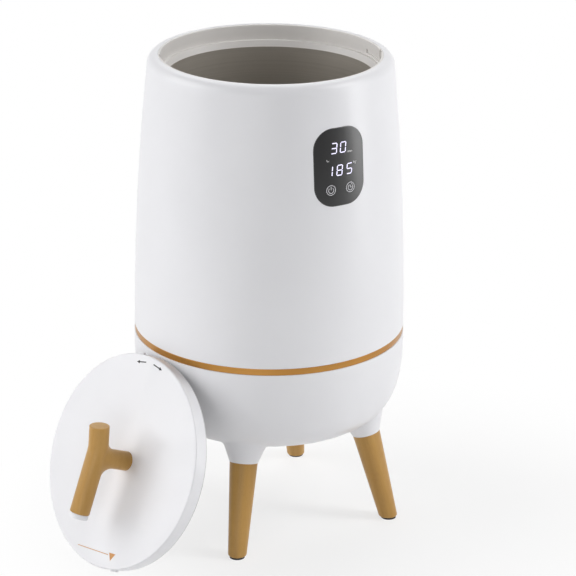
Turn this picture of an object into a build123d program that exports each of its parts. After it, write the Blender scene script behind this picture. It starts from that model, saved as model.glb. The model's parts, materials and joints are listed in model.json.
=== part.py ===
from build123d import *
from math import atan2, cos, degrees, hypot, radians, sin, sqrt
import os

# Heated towel bucket on four splayed legs, with its lid taken off and leaning on the body.
# Millimetres, +Z up. The origin is on the floor under the bucket's axis, and the control
# panel faces -Y. Radii are measured from the bucket's axis unless a comment says otherwise.

# ---------------------------------------------------------------- driving dimensions
# Outer body
BODY_RADIUS = 161.8          # base bowl at its widest
RIM_HEIGHT = 576.0           # floor to the crest of the rim
SHELL_STEP = 0.4             # body wall's foot, just above the accent ring, stands in from the bowl
WALL_TAPER = 18.6            # from there in to the wall carried up to the rim, before the lip
WALL_BULGE = 4.1             # how far the wall bows out from a straight cone
LIP_ROUNDING = 12.0
MOUTH_EDGE = 0.8             # small rounding where the lip turns into the mouth
SHELL_WALL = 2.8
SKIRT_LENGTH = 10.0          # return skirt inside the lip
SKIRT_WALL = 2.2

# Accent ring between shell and bowl
RING_MIDDLE = 241.5
RING_WIDTH = 8.0
RING_RECESS = 0.6            # how far the ring's face stands back from the wall
RING_DEPTH = 2.4
JOINT_EDGE = 0.6             # rounding of the edges that face the ring
RING_EDGE = 0.5

# Base bowl
BOWL_BOTTOM = 128.0
BOWL_CURVE_DROP = 19.5       # accent ring's middle down to where the straight side ends
BOWL_SIDE_HANDLE = 61.0      # curve handles: down the side, out along the floor
BOWL_FLOOR_HANDLE = 44.0
BOWL_CURVE_WIDTH = 61.8      # from the side in to the flat floor
BOWL_WALL = 3.0
SPIGOT_RISE = 11.0           # how far the bowl's spigot reaches into the shell
SPIGOT_WALL = 2.4

# Collar and mouth
LIP_WIDTH = 14.6             # body wall carried up to the rim, in to the mouth
COLLAR_WALL = 2.6
COLLAR_SINK = 0.6            # collar top below the lip crest
SEAT_DEPTH = 18.6            # rim crest down to the ledge that carries the lid
SEAT_WIDTH = 3.6
STEP_DEPTH = 7.4             # ledge down to the collar's lower edge
STEP_INSET = 2.6
COLLAR_FLANGE = 5.5
COLLAR_FLANGE_THICKNESS = 2.4
LUG_SLOT_AZIMUTH = -25.0
LUG_COUNT = 2
LUG_SLOT_DEPTH = 1.5
LUG_SLOT_PLAY = 1.5
LUG_TURN = 22.0              # degrees that the lid turns to lock

# Liner
LINER_STEP = 0.6             # liner's mouth stands in from the collar above it
LINER_TAPER = 4.9            # and its floor stands in from its mouth
LINER_LIFT = 44.0            # bowl's underside up to the liner's floor
LINER_WALL = 1.0
LINER_CORNER = 18.0
LINER_FLANGE = 7.4

# Heating and insulation
HEATER_THICKNESS = 0.8
HEATER_RISE = 43.0           # liner's floor up to the heater
HEATER_HEIGHT = 185.0
HEATER_PLAY = 0.8            # adhesive and backing between liner, heater and felt
HEATER_SPLIT = 17.0          # gap left open where the heater's ends meet
PLATE_INSET = 26.5           # all insets here are from the liner's floor radius
PLATE_THICKNESS = 5.0
SLEEVE_THICKNESS = 9.0
SLEEVE_RISE = 18.0           # liner's floor up to the sleeve
SLEEVE_DROP = 36.0           # rim down to the sleeve
FELT_INSET = 12.5
FELT_THICKNESS = 10.0
SENSOR_PITCH = 46.0          # thermostat, fuse and sensor stand this far from the axis
SENSOR_TURN = 120.0          # and this far round from each other
THERMOSTAT_RADIUS = 8.5
THERMOSTAT_NECK = 6.8
THERMOSTAT_HEIGHT = 8.0
FUSE_RADIUS = 2.2
FUSE_LENGTH = 13.0
SENSOR_RADIUS = 3.0
SENSOR_HEIGHT = 7.0
SENSOR_WINDOW = 11.0         # radius of the window that the felt leaves round each

# Legs
SEAM_INSET = 39.8            # from the bowl's side in to the leg tops, where wood meets socket
SEAM_DROP = 18.0             # bowl's underside down to the leg tops
LEG_SPLAY = 30.4             # feet stand this much further out than the leg tops
LEG_TOP_RADIUS = 16.7
LEG_FOOT_RADIUS = 10.9
LEG_EDGE = 2.4
LEG_AZIMUTHS = {"front_left": -135, "front_right": -45, "back_right": 45, "back_left": 135}
PAD_RADIUS = 9.0
PAD_THICKNESS = 2.0
SOCKET_STEP = 0.3            # socket's lower edge stands proud of the wood
SOCKET_FLARE = 0.40          # radius gained for each unit up the socket
SOCKET_BLEND = 7.0
TENON_RADIUS = 10.0
TENON_LENGTH = 8.0
STUD_RADIUS = 4.0
STUD_IN_LEG = 26.0
INSERT_RADIUS = 6.5
INSERT_LENGTH = 16.0

# Control panel
PANEL_DROP = 96.0            # rim down to the panel's middle
PANEL_WIDTH = 66.2
PANEL_HEIGHT = 90.5
PANEL_CORNER = 24.4
LENS_THICKNESS = 2.0
LENS_PROUD = 0.4
LENS_EDGE = 0.8
LEDGE_WIDTH = 3.0            # shell ledge that carries the lens
KEY_RADIUS = 6.6
KEY_SPACING = 25.9
KEY_DROP = 25.7              # panel middle down to the keys
KEY_TRAVEL = 0.6
KEY_STEM_RADIUS = 1.6
KEY_FLANGE = 1.2             # flange behind the lens that keeps a key in
KEY_FLANGE_THICKNESS = 0.8
SWITCH_SIZE = 6.2
SWITCH_HEIGHT = 4.2
SWITCH_WELL = 1.8
BOARD_SETBACK = 16.0         # body wall back to the front of the display board
BOARD_WIDTH = 58.0
BOARD_HEIGHT = 82.0
BOARD_THICKNESS = 1.6
MODULE_WIDTH = 44.0
MODULE_HEIGHT = 46.0
MODULE_DEPTH = 6.0
MODULE_RISE = 8.0            # module's middle above the panel's middle
CARRIER_MARGIN = 10.0
CARRIER_THICKNESS = 3.2
CARRIER_LIP = 4.0
CARRIER_ROOM = 2.0           # free space round the carrier inside the insulation
CARRIER_SCREW_GRIP = 4.0

# Underside and power electronics
OPENING_ROOM = 4.4           # power board's corners to the edge of the service opening
COVER_LAP = 9.0              # cover's overlap round the bowl's service opening
COVER_THICKNESS = 2.5
VENT_LENGTH = 30.0
VENT_WIDTH = 4.2
VENT_PITCH = 10.0
VENT_COUNT = 7
POWER_BOARD_LENGTH = 98.0
POWER_BOARD_WIDTH = 68.0
POWER_BOARD_RISE = 9.0
POWER_BOARD_EDGE = 2.0       # margin between the terminal block and the board's edge
RELAY_SIZE = (19.0, 15.5, 14.0)
RELAY_PLACE = (-28.5, 8.5)
TRANSFORMER_SIZE = (27.0, 24.0, 14.5)
TRANSFORMER_PLACE = (15.5, 8.5)
BLOCK_EDGE = 1.0
TERMINAL_SIZE = (36.0, 11.0, 13.0)
TERMINAL_WAYS = 4
CAPACITOR_RADIUS = 5.0
CAPACITOR_HEIGHT = 13.0
CAPACITOR_PITCH = 15.0
CAPACITOR_ROW = -17.0
CAPACITOR_COUNT = 3

# Cord outlet
OUTLET_DROP = 36.5           # accent ring's middle down to the outlet
OUTLET_BORE = 3.6
GROMMET_RADIUS = 6.0
GROMMET_FLANGE = 8.5
GROMMET_FLANGE_THICKNESS = 2.0
GROMMET_NECK = 7.0
OUTLET_SEAT_DEPTH = 0.9

# Screws: shank radius, head radius, head height
SMALL_SCREW = (1.5, 2.8, 1.8)
LARGE_SCREW = (2.0, 3.8, 2.6)
DRIVE_SHARE = 0.5            # hexagonal drive's size and depth, as a share of the head's
SCREW_FILL = 0.8             # share of a blind bore that its screw fills
BOSS_WALL = 2.6
BOSS_LENGTH = 24.0           # bosses in the shell for the base screws
BOSS_GAP = 1.0               # between those bosses and the spigot

# Lid
LID_PLAY = 1.2               # between the lid and the mouth that it fits
LID_THICKNESS = 17.0
LID_TOP_WALL = 2.6
LID_SKIRT_WALL = 2.6
LID_EDGE = 1.6
LID_LEAN = 22.6              # its outward face looks up by this many degrees
LID_AZIMUTH = -170.8
LEAN_GAP = 0.35              # between the lid's back edge and the bowl that it leans on
LUG_WIDTH = 10.0
LUG_HEIGHT = 3.6
LUG_RISE = 3.2
LUG_PROUD = 1.9
LUG_PHASE = -15.0            # first lug, degrees clockwise from the lid's top
SEAL_THICKNESS = 1.4
SEAL_INSET = 0.5
SEAL_TONGUE = 1.6
SEAL_TONGUE_HEIGHT = 2.4
PAN_THICKNESS = 2.0
PAN_RISE = 1.8
LID_FOAM_THICKNESS = 7.0
LID_SCREW_INSET = 31.0
LID_SCREW_COUNT = 4
LID_SCREW_PHASE = 45.0

# Handle, in the lid's own frame: across, up the lid, and out from its face
HANDLE_ACROSS = 8.6
STEM_UP = 2.8
BEND_UP = 13.5
STEM_RADIUS = 11.4
STICK_RADIUS = 11.8
STICK_STAND = 47.0           # stick axis out from the lid's face at the bend
STICK_LOW_STAND = 45.2       # and at its lower end
STICK_UP = 39.6
STICK_RISE = 8.5             # the upper end bends this much further out
STICK_DOWN = 66.0
STICK_BEND = 40.0
STICK_EDGE = 1.4
STEM_BLEND = 16.0
TIP_LENGTH = 6.0
TIP_STEP = 0.5
TIP_SPIGOT_RADIUS = 6.0
TIP_SPIGOT_LENGTH = 8.0
HANDLE_SCREW_REACH = 24.0
WASHER_RADIUS = 8.0
WASHER_THICKNESS = 1.6

# Clearances
FIT = 0.1                    # between pieces that nest and stay together
SLIP = 0.3                   # between pieces that move apart
CUT_REACH = 40.0             # how far the shapes that cut right through a wall stand clear of it
CUT_MARGIN = 12.0            # and how far a band runs on past what it is cut with

# ---------------------------------------------------------------- shared geometry
shell_foot_radius = BODY_RADIUS - SHELL_STEP
shell_head_radius = shell_foot_radius - WALL_TAPER
mouth_radius = shell_head_radius - LIP_WIDTH
bowl_curve_start = RING_MIDDLE - BOWL_CURVE_DROP
bowl_floor_radius = BODY_RADIUS - BOWL_CURVE_WIDTH
seam_radius = BODY_RADIUS - SEAM_INSET
foot_radius = seam_radius + LEG_SPLAY
seam_height = BOWL_BOTTOM - SEAM_DROP
panel_middle = RIM_HEIGHT - PANEL_DROP
shell_bottom = RING_MIDDLE + RING_WIDTH / 2
bowl_top = RING_MIDDLE - RING_WIDTH / 2
seat_height = RIM_HEIGHT - SEAT_DEPTH
collar_top = RIM_HEIGHT - COLLAR_SINK
collar_bottom = seat_height - STEP_DEPTH
collar_outer = mouth_radius + COLLAR_WALL
seat_inner = mouth_radius - SEAT_WIDTH
step_inner = seat_inner - STEP_INSET
liner_mouth_radius = step_inner - LINER_STEP
liner_floor_radius = liner_mouth_radius - LINER_TAPER
liner_floor = BOWL_BOTTOM + LINER_LIFT
skirt_inner = collar_outer + FIT
skirt_bottom = RIM_HEIGHT - SKIRT_LENGTH

wall_foot = Vector(shell_foot_radius, shell_bottom)
wall_chord = Vector(shell_head_radius, RIM_HEIGHT) - wall_foot
wall_arc_radius = ((wall_chord.length / 2) ** 2 + WALL_BULGE**2) / (2 * WALL_BULGE)
wall_inward = Vector(-wall_chord.Y, wall_chord.X).normalized()
wall_centre = wall_foot + wall_chord * 0.5 + wall_inward * (wall_arc_radius - WALL_BULGE)


def wall_radius(height, outward=0.0):
    """Radius of the body wall at a height, or of its offset outward from the wall."""
    return wall_centre.X + sqrt((wall_arc_radius + outward) ** 2 - (height - wall_centre.Y) ** 2)


def wall_arc(low, high, outward=0.0):
    """The wall's arc between two heights, offset outward from the wall."""
    return ThreePointArc(*[(wall_radius(z, outward), z) for z in (low, (low + high) / 2, high)])


# The lip is an arc that touches both the wall and the rim's level
lip_centre = Vector(wall_radius(RIM_HEIGHT - LIP_ROUNDING, -LIP_ROUNDING), RIM_HEIGHT - LIP_ROUNDING)
lip_side = (lip_centre - wall_centre).normalized()
lip_corner = (lip_side + Vector(0, 1)).normalized()


def lip_arc(outward=0.0):
    """The lip's arc from the wall up to the rim's level, offset outward."""
    ways = (lip_side, lip_corner, Vector(0, 1))
    points = [lip_centre + way * (LIP_ROUNDING + outward) for way in ways]
    return ThreePointArc(*[(point.X, point.Y) for point in points])


def wall_depth(x, height, inward=0.0):
    """Distance ahead of the axis to the wall, at a place x across the front."""
    return sqrt(wall_radius(height, -inward) ** 2 - x**2)


def near(shapes, point):
    """The one of some vertices, edges or faces that lies nearest a point."""
    return shapes.sort_by_distance(point)[0]


def finish(piece, name):
    """Label a finished piece and write it to its own STEP file."""
    piece.part.label = name
    export_step(piece.part, f"parts/{name}.step")


def screw(plane, sizes, reach):
    """A pan-head screw whose head sits on the plane and whose shank goes down its normal."""
    shank, head, height = sizes
    with BuildPart(mode=Mode.PRIVATE) as one:
        with BuildSketch(plane):
            Circle(head)
        extrude(amount=height)
        circles = one.edges().filter_by(GeomType.CIRCLE)
        fillet(near(circles, plane.offset(height).origin), height / 3)
        with BuildSketch(plane.offset(height)):
            RegularPolygon(head * DRIVE_SHARE, 6)
        extrude(amount=-height * DRIVE_SHARE, mode=Mode.SUBTRACT)
        with BuildSketch(plane):
            Circle(shank)
        extrude(amount=-reach)
    return one.part


def screw_set(name, planes, sizes, reach):
    """Identical screws as one node of separate solids."""
    with BuildPart() as group:
        for plane in planes:
            add(screw(plane, sizes, reach))
    finish(group, name)


os.makedirs("parts", exist_ok=True)

# ---------------------------------------------------------------- outer shell
board_face = wall_radius(panel_middle) - BOARD_SETBACK
panel_top = panel_middle + PANEL_HEIGHT / 2
panel_bottom = panel_middle - PANEL_HEIGHT / 2
recess_depth = LENS_THICKNESS - LENS_PROUD + FIT
carrier_face = board_face + FIT
carrier_width = PANEL_WIDTH + CARRIER_MARGIN
carrier_screw_x = (carrier_width - CARRIER_LIP) / 2 - SMALL_SCREW[1]
carrier_screw_z = BOARD_HEIGHT / 2 - SMALL_SCREW[1]
carrier_screws = [
    (x, panel_middle + z)
    for x in (-carrier_screw_x, carrier_screw_x)
    for z in (-carrier_screw_z, carrier_screw_z)
]

tab_azimuths = (0, 90, 180, 270)
spigot_outer = shell_foot_radius - SHELL_WALL - 2 * FIT
spigot_inner = spigot_outer - SPIGOT_WALL
spigot_top = shell_bottom + SPIGOT_RISE
tab_thickness = BOWL_WALL
boss_radius = LARGE_SCREW[0] + BOSS_WALL
boss_circle = spigot_inner - boss_radius - BOSS_GAP
boss_low = spigot_top + tab_thickness + FIT
web_outer = wall_radius(boss_low) - SHELL_WALL / 2


def panel_prism(grow, start, stop):
    """The panel's rounded outline, grown on every side, between two depths ahead of the axis."""
    with BuildPart(mode=Mode.PRIVATE) as prism:
        with BuildSketch(Plane.XZ.offset(start)):
            with Locations((0, panel_middle)):
                RectangleRounded(PANEL_WIDTH + 2 * grow, PANEL_HEIGHT + 2 * grow, PANEL_CORNER + grow)
        extrude(amount=stop - start)
    return prism.part


def wall_band(inner, outer):
    """A full ring that follows the wall behind the panel, from inner to outer of its face."""
    low = panel_bottom - CUT_MARGIN
    high = panel_top + CUT_MARGIN
    with BuildPart(mode=Mode.PRIVATE) as band:
        with BuildSketch(Plane.XZ):
            with BuildLine():
                front = wall_arc(low, high, outer)
                back = wall_arc(low, high, inner)
                Line(front @ 0, back @ 0)
                Line(front @ 1, back @ 1)
            make_face()
        revolve(axis=Axis.Z)
    return band.part


panel_reach = shell_foot_radius + CUT_REACH
panel_root = board_face - CUT_REACH

with BuildPart() as shell:
    with BuildSketch(Plane.XZ) as shell_section:
        with BuildLine():
            lip = lip_arc()
            outside = wall_arc(shell_bottom, (lip @ 0).Y)
            under_lip = lip_arc(-SHELL_WALL)
            inside = wall_arc(shell_bottom, (under_lip @ 0).Y, -SHELL_WALL)
            Line(inside @ 0, outside @ 0)
            Polyline(
                lip @ 1,
                (skirt_inner, RIM_HEIGHT),
                (skirt_inner, RIM_HEIGHT - SHELL_WALL),
                under_lip @ 1,
            )
        make_face()
        with Locations((skirt_inner, skirt_bottom)):
            Rectangle(SKIRT_WALL, SKIRT_LENGTH - SHELL_WALL / 2, align=Align.MIN)
    revolve(axis=Axis.Z)
    fillet(near(shell.edges(), (0, skirt_inner, RIM_HEIGHT)), MOUTH_EDGE)
    fillet(near(shell.edges(), (0, shell_foot_radius, shell_bottom)), JOINT_EDGE)
    # Bosses for the base screws, each with a web to the wall
    with BuildSketch(Plane.XY.offset(boss_low)):
        with PolarLocations(boss_circle, len(tab_azimuths)):
            Circle(boss_radius)
            Rectangle(web_outer - boss_circle, boss_radius, align=(Align.MIN, Align.CENTER))
    extrude(amount=BOSS_LENGTH)
    with BuildSketch(Plane.XY.offset(boss_low)):
        with PolarLocations(boss_circle, len(tab_azimuths)):
            Circle(LARGE_SCREW[0])
    extrude(amount=BOSS_LENGTH / 2, mode=Mode.SUBTRACT)
    # Bosses for the display carrier
    for x, z in carrier_screws:
        depth = wall_depth(abs(x) + SMALL_SCREW[0] + BOSS_WALL / 2, z, SHELL_WALL / 2)
        with BuildSketch(Plane.XZ.offset(carrier_face)):
            with Locations((x, z)):
                Circle(SMALL_SCREW[0] + BOSS_WALL / 2)
        extrude(amount=depth - carrier_face)
    with BuildSketch(Plane.XZ.offset(carrier_face)):
        with Locations(*carrier_screws):
            Circle(SMALL_SCREW[0])
    extrude(amount=CARRIER_SCREW_GRIP, mode=Mode.SUBTRACT)
    # Seat for the lens, and the window behind it
    add(
        panel_prism(FIT, panel_root, panel_reach) & wall_band(-recess_depth, CUT_REACH),
        mode=Mode.SUBTRACT,
    )
    add(panel_prism(-LEDGE_WIDTH, carrier_face, panel_reach), mode=Mode.SUBTRACT)
finish(shell, "outer_shell")

# ---------------------------------------------------------------- accent ring
with BuildPart() as ring:
    with BuildSketch(Plane.XZ):
        with Locations((wall_radius(RING_MIDDLE) - RING_RECESS, RING_MIDDLE)):
            Rectangle(RING_DEPTH, RING_WIDTH, align=(Align.MAX, Align.CENTER))
    revolve(axis=Axis.Z)
    ring_face = (0, wall_radius(RING_MIDDLE) - RING_RECESS)
    fillet([near(ring.edges(), (*ring_face, z)) for z in (bowl_top, shell_bottom)], RING_EDGE)
finish(ring, "accent_ring")

# ---------------------------------------------------------------- legs and their sockets
leg_tilt = degrees(atan2(foot_radius - seam_radius, seam_height))
leg_length = hypot(foot_radius - seam_radius, seam_height)
pad_circle = foot_radius - PAD_THICKNESS / 2 * (foot_radius - seam_radius) / seam_height


def seam_plane(azimuth, along=0.0):
    """The plane across a leg's top, its normal up the leg, moved along the leg."""
    out = Vector(cos(radians(azimuth)), sin(radians(azimuth)), 0)
    up = Vector(0, 0, seam_height) - out * (foot_radius - seam_radius)
    centre = out * seam_radius + Vector(0, 0, seam_height)
    across = Vector(-out.Y, out.X, 0)
    return Plane(origin=centre, x_dir=across, z_dir=up).offset(along)


for side, azimuth in LEG_AZIMUTHS.items():
    with BuildPart() as leg:
        with BuildSketch(seam_plane(azimuth)):
            Circle(LEG_TOP_RADIUS)
        with BuildSketch(seam_plane(azimuth, -leg_length - LEG_FOOT_RADIUS)):
            spread = (LEG_TOP_RADIUS - LEG_FOOT_RADIUS) * LEG_FOOT_RADIUS / leg_length
            Circle(LEG_FOOT_RADIUS - spread)
        loft()
        split(bisect_by=Plane.XY.offset(PAD_THICKNESS), keep=Keep.TOP)
        fillet(leg.edges().group_by(Axis.Z)[0], LEG_EDGE)
        with BuildSketch(seam_plane(azimuth)):
            Circle(TENON_RADIUS)
        extrude(amount=TENON_LENGTH)
        with BuildSketch(seam_plane(azimuth, TENON_LENGTH)):
            Circle(STUD_RADIUS)
        extrude(amount=-STUD_IN_LEG, mode=Mode.SUBTRACT)
    finish(leg, f"leg_{side}")

with BuildPart() as pads:
    with BuildSketch():
        with PolarLocations(pad_circle, len(LEG_AZIMUTHS), start_angle=LEG_AZIMUTHS["back_right"]):
            Circle(PAD_RADIUS)
    extrude(amount=PAD_THICKNESS)
finish(pads, "foot_pads")

with BuildPart() as studs:
    for azimuth in LEG_AZIMUTHS.values():
        with BuildSketch(seam_plane(azimuth, TENON_LENGTH - STUD_IN_LEG)):
            Circle(STUD_RADIUS)
        extrude(amount=STUD_IN_LEG + FIT + INSERT_LENGTH)
finish(studs, "leg_studs")

with BuildPart() as inserts:
    for azimuth in LEG_AZIMUTHS.values():
        with BuildSketch(seam_plane(azimuth, TENON_LENGTH + FIT)):
            Circle(INSERT_RADIUS)
            Circle(STUD_RADIUS, mode=Mode.SUBTRACT)
        extrude(amount=INSERT_LENGTH)
finish(inserts, "leg_inserts")

# ---------------------------------------------------------------- base bowl
bowl_inner = BODY_RADIUS - BOWL_WALL
bowl_floor = BOWL_BOTTOM + BOWL_WALL
bowl_opening = hypot(POWER_BOARD_LENGTH, POWER_BOARD_WIDTH) / 2 + OPENING_ROOM
cover_radius = bowl_opening + COVER_LAP
cover_screw_circle = (cover_radius + bowl_opening) / 2
cover_screw_planes = [
    Plane(
        origin=(
            cover_screw_circle * cos(radians(azimuth)),
            cover_screw_circle * sin(radians(azimuth)),
            BOWL_BOTTOM - COVER_THICKNESS + SMALL_SCREW[2] / 2,
        ),
        z_dir=(0, 0, -1),
    )
    for azimuth in tab_azimuths
]
cover_boss_radius = SMALL_SCREW[0] + BOSS_WALL
cover_boss_height = 9.0
tab_reach = spigot_inner - boss_circle + boss_radius
outlet_wall = BODY_RADIUS - OUTLET_SEAT_DEPTH
outlet_height = RING_MIDDLE - OUTLET_DROP
outlet_plane = Plane(origin=(0, 0, outlet_height), x_dir=(-1, 0, 0), z_dir=(0, 1, 0))


def bowl_curve(side, bottom):
    """The bowl's curve from its side down to its floor, for a given side radius and floor level."""
    return Bezier(
        (side, bowl_curve_start),
        (side, bowl_curve_start - BOWL_SIDE_HANDLE),
        (bowl_floor_radius + BOWL_FLOOR_HANDLE, bottom),
        (bowl_floor_radius, bottom),
    )


with BuildPart() as bowl_core:
    with BuildSketch(Plane.XZ):
        with BuildLine():
            outer = bowl_curve(BODY_RADIUS, BOWL_BOTTOM)
            Polyline(outer @ 1, (0, BOWL_BOTTOM), (0, bowl_top), (BODY_RADIUS, bowl_top), outer @ 0)
        make_face()
    revolve(axis=Axis.Z)

with BuildPart() as bowl_void:
    with BuildSketch(Plane.XZ):
        with BuildLine():
            inner = bowl_curve(bowl_inner, bowl_floor)
            Polyline(inner @ 1, (0, bowl_floor), (0, bowl_top), (bowl_inner, bowl_top), inner @ 0)
        make_face()
    revolve(axis=Axis.Z)

# Each socket's buried end lies half way from the seam up to where the bowl's side starts
socket_length = (bowl_curve_start - seam_height) / 2 / cos(radians(leg_tilt))

with BuildPart() as bowl:
    add(bowl_core.part)
    for azimuth in LEG_AZIMUTHS.values():
        with BuildSketch(seam_plane(azimuth)):
            Circle(LEG_TOP_RADIUS + SOCKET_STEP)
        with BuildSketch(seam_plane(azimuth, socket_length)):
            Circle(LEG_TOP_RADIUS + SOCKET_STEP + SOCKET_FLARE * socket_length)
        loft()
    fillet(bowl.edges().filter_by(GeomType.BSPLINE), SOCKET_BLEND)
    add(bowl_void.part, mode=Mode.SUBTRACT)
    # Spigot and the shoulder that carries it
    with BuildSketch(Plane.XZ):
        with Locations((spigot_inner, bowl_top - 2 * BOWL_WALL)):
            Rectangle(BODY_RADIUS - BOWL_WALL / 2 - spigot_inner, 2 * BOWL_WALL, align=Align.MIN)
            Rectangle(SPIGOT_WALL, spigot_top - bowl_top + 2 * BOWL_WALL, align=Align.MIN)
    revolve(axis=Axis.Z)
    # Tabs on the spigot, bored for the base screws
    with BuildSketch(Plane.XY.offset(spigot_top)):
        with PolarLocations(spigot_inner + SPIGOT_WALL, len(tab_azimuths)):
            Rectangle(tab_reach + SPIGOT_WALL, 2 * boss_radius, align=(Align.MAX, Align.CENTER))
        with PolarLocations(boss_circle, len(tab_azimuths)):
            Circle(LARGE_SCREW[0] + FIT, mode=Mode.SUBTRACT)
    extrude(amount=tab_thickness)
    # Bosses over the leg inserts and round the service opening
    for azimuth in LEG_AZIMUTHS.values():
        with BuildSketch(seam_plane(azimuth, TENON_LENGTH)):
            Circle(INSERT_RADIUS + BOSS_WALL)
        extrude(amount=FIT + INSERT_LENGTH + BOSS_WALL)
    with BuildSketch(Plane.XY.offset(bowl_floor - FIT)):
        with PolarLocations(cover_screw_circle, len(tab_azimuths)):
            Circle(cover_boss_radius)
    extrude(amount=cover_boss_height)
    # Service opening, screw bores, tenon and insert bores
    with BuildSketch(Plane.XY.offset(BOWL_BOTTOM)):
        Circle(bowl_opening)
    extrude(amount=2 * BOWL_WALL, mode=Mode.SUBTRACT)
    with BuildSketch(Plane.XY.offset(BOWL_BOTTOM)):
        with PolarLocations(cover_screw_circle, len(tab_azimuths)):
            Circle(SMALL_SCREW[0])
    extrude(amount=cover_boss_height, mode=Mode.SUBTRACT)
    for azimuth in LEG_AZIMUTHS.values():
        with BuildSketch(seam_plane(azimuth)):
            Circle(TENON_RADIUS + FIT)
        extrude(amount=TENON_LENGTH + FIT, mode=Mode.SUBTRACT)
        with BuildSketch(seam_plane(azimuth, TENON_LENGTH)):
            Circle(INSERT_RADIUS)
        extrude(amount=FIT + INSERT_LENGTH, mode=Mode.SUBTRACT)
    fillet(near(bowl.edges(), (0, BODY_RADIUS, bowl_top)), JOINT_EDGE)
    # Flat seat and bore for the cord grommet
    with BuildSketch(outlet_plane.offset(outlet_wall)):
        Circle(GROMMET_FLANGE + FIT)
    extrude(amount=BOWL_WALL, mode=Mode.SUBTRACT)
    with BuildSketch(outlet_plane.offset(outlet_wall)):
        Circle(GROMMET_RADIUS)
    extrude(amount=-GROMMET_NECK, mode=Mode.SUBTRACT)
finish(bowl, "base_bowl")

base_screw_planes = [
    Plane(
        origin=(boss_circle * cos(radians(azimuth)), boss_circle * sin(radians(azimuth)), spigot_top),
        z_dir=(0, 0, -1),
    )
    for azimuth in tab_azimuths
]
screw_set("base_screws", base_screw_planes, LARGE_SCREW, tab_thickness + BOSS_LENGTH / 2)
screw_set("cover_screws", cover_screw_planes, SMALL_SCREW, cover_boss_height)

# ---------------------------------------------------------------- cord grommet
with BuildPart() as grommet:
    with BuildSketch(outlet_plane.offset(outlet_wall)):
        Circle(GROMMET_FLANGE)
    extrude(amount=GROMMET_FLANGE_THICKNESS)
    fillet(grommet.edges().sort_by(Axis.Y)[-1], GROMMET_FLANGE_THICKNESS / 2)
    with BuildSketch(outlet_plane.offset(outlet_wall)):
        Circle(GROMMET_RADIUS)
    extrude(amount=-GROMMET_NECK)
    with BuildSketch(outlet_plane.offset(outlet_wall - GROMMET_NECK)):
        Circle(OUTLET_BORE)
    extrude(amount=GROMMET_NECK + GROMMET_FLANGE_THICKNESS, mode=Mode.SUBTRACT)
finish(grommet, "cord_grommet")

# ---------------------------------------------------------------- bottom cover and power board
cover_low = BOWL_BOTTOM - COVER_THICKNESS
board_low = BOWL_BOTTOM + POWER_BOARD_RISE
board_top = board_low + BOARD_THICKNESS
stand_radius = SMALL_SCREW[0] + BOSS_WALL / 2
stand_x = POWER_BOARD_LENGTH / 2 - 2 * stand_radius
stand_y = POWER_BOARD_WIDTH / 2 - 2 * stand_radius

with BuildPart() as cover:
    with BuildSketch(Plane.XY.offset(cover_low)):
        Circle(cover_radius)
        with GridLocations(VENT_PITCH, 2 * VENT_PITCH + VENT_LENGTH, VENT_COUNT, 2):
            SlotOverall(VENT_LENGTH, VENT_WIDTH, rotation=90, mode=Mode.SUBTRACT)
        with PolarLocations(cover_screw_circle, len(tab_azimuths)):
            Circle(SMALL_SCREW[0] + FIT, mode=Mode.SUBTRACT)
    extrude(amount=COVER_THICKNESS)
    fillet(cover.faces().sort_by(Axis.Z)[0].outer_wire().edges(), COVER_THICKNESS / 3)
    with BuildSketch(Plane.XY.offset(cover_low)):
        with PolarLocations(cover_screw_circle, len(tab_azimuths)):
            Circle(SMALL_SCREW[1] + FIT)
    extrude(amount=SMALL_SCREW[2] / 2, mode=Mode.SUBTRACT)
    with BuildSketch(Plane.XY.offset(BOWL_BOTTOM - FIT)):
        with GridLocations(2 * stand_x, 2 * stand_y, 2, 2):
            Circle(stand_radius)
    extrude(amount=POWER_BOARD_RISE + FIT)
    with BuildSketch(Plane.XY.offset(BOWL_BOTTOM)):
        with GridLocations(2 * stand_x, 2 * stand_y, 2, 2):
            Circle(SMALL_SCREW[0])
    extrude(amount=POWER_BOARD_RISE, mode=Mode.SUBTRACT)
finish(cover, "bottom_cover")

with BuildPart() as power_board:
    with BuildSketch(Plane.XY.offset(board_low)):
        RectangleRounded(POWER_BOARD_LENGTH, POWER_BOARD_WIDTH, stand_radius)
        with GridLocations(2 * stand_x, 2 * stand_y, 2, 2):
            Circle(SMALL_SCREW[0] + FIT, mode=Mode.SUBTRACT)
    extrude(amount=BOARD_THICKNESS)
finish(power_board, "power_board")

board_screw_planes = [
    Plane(origin=(x, y, board_top), z_dir=(0, 0, 1))
    for x in (-stand_x, stand_x)
    for y in (-stand_y, stand_y)
]
board_screw_reach = BOARD_THICKNESS + POWER_BOARD_RISE * SCREW_FILL
screw_set("power_board_screws", board_screw_planes, SMALL_SCREW, board_screw_reach)


def board_block(name, size, place):
    """A rectangular component that stands on the power board."""
    with BuildPart() as block:
        with BuildSketch(Plane.XY.offset(board_top)):
            with Locations(place):
                Rectangle(size[0], size[1])
        extrude(amount=size[2])
        fillet(block.edges().filter_by(Axis.Z), BLOCK_EDGE)
    finish(block, name)


board_block("relay", RELAY_SIZE, RELAY_PLACE)
board_block("transformer", TRANSFORMER_SIZE, TRANSFORMER_PLACE)

terminal_row = (POWER_BOARD_WIDTH - TERMINAL_SIZE[1]) / 2 - POWER_BOARD_EDGE
terminal_pitch = TERMINAL_SIZE[0] / TERMINAL_WAYS

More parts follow.
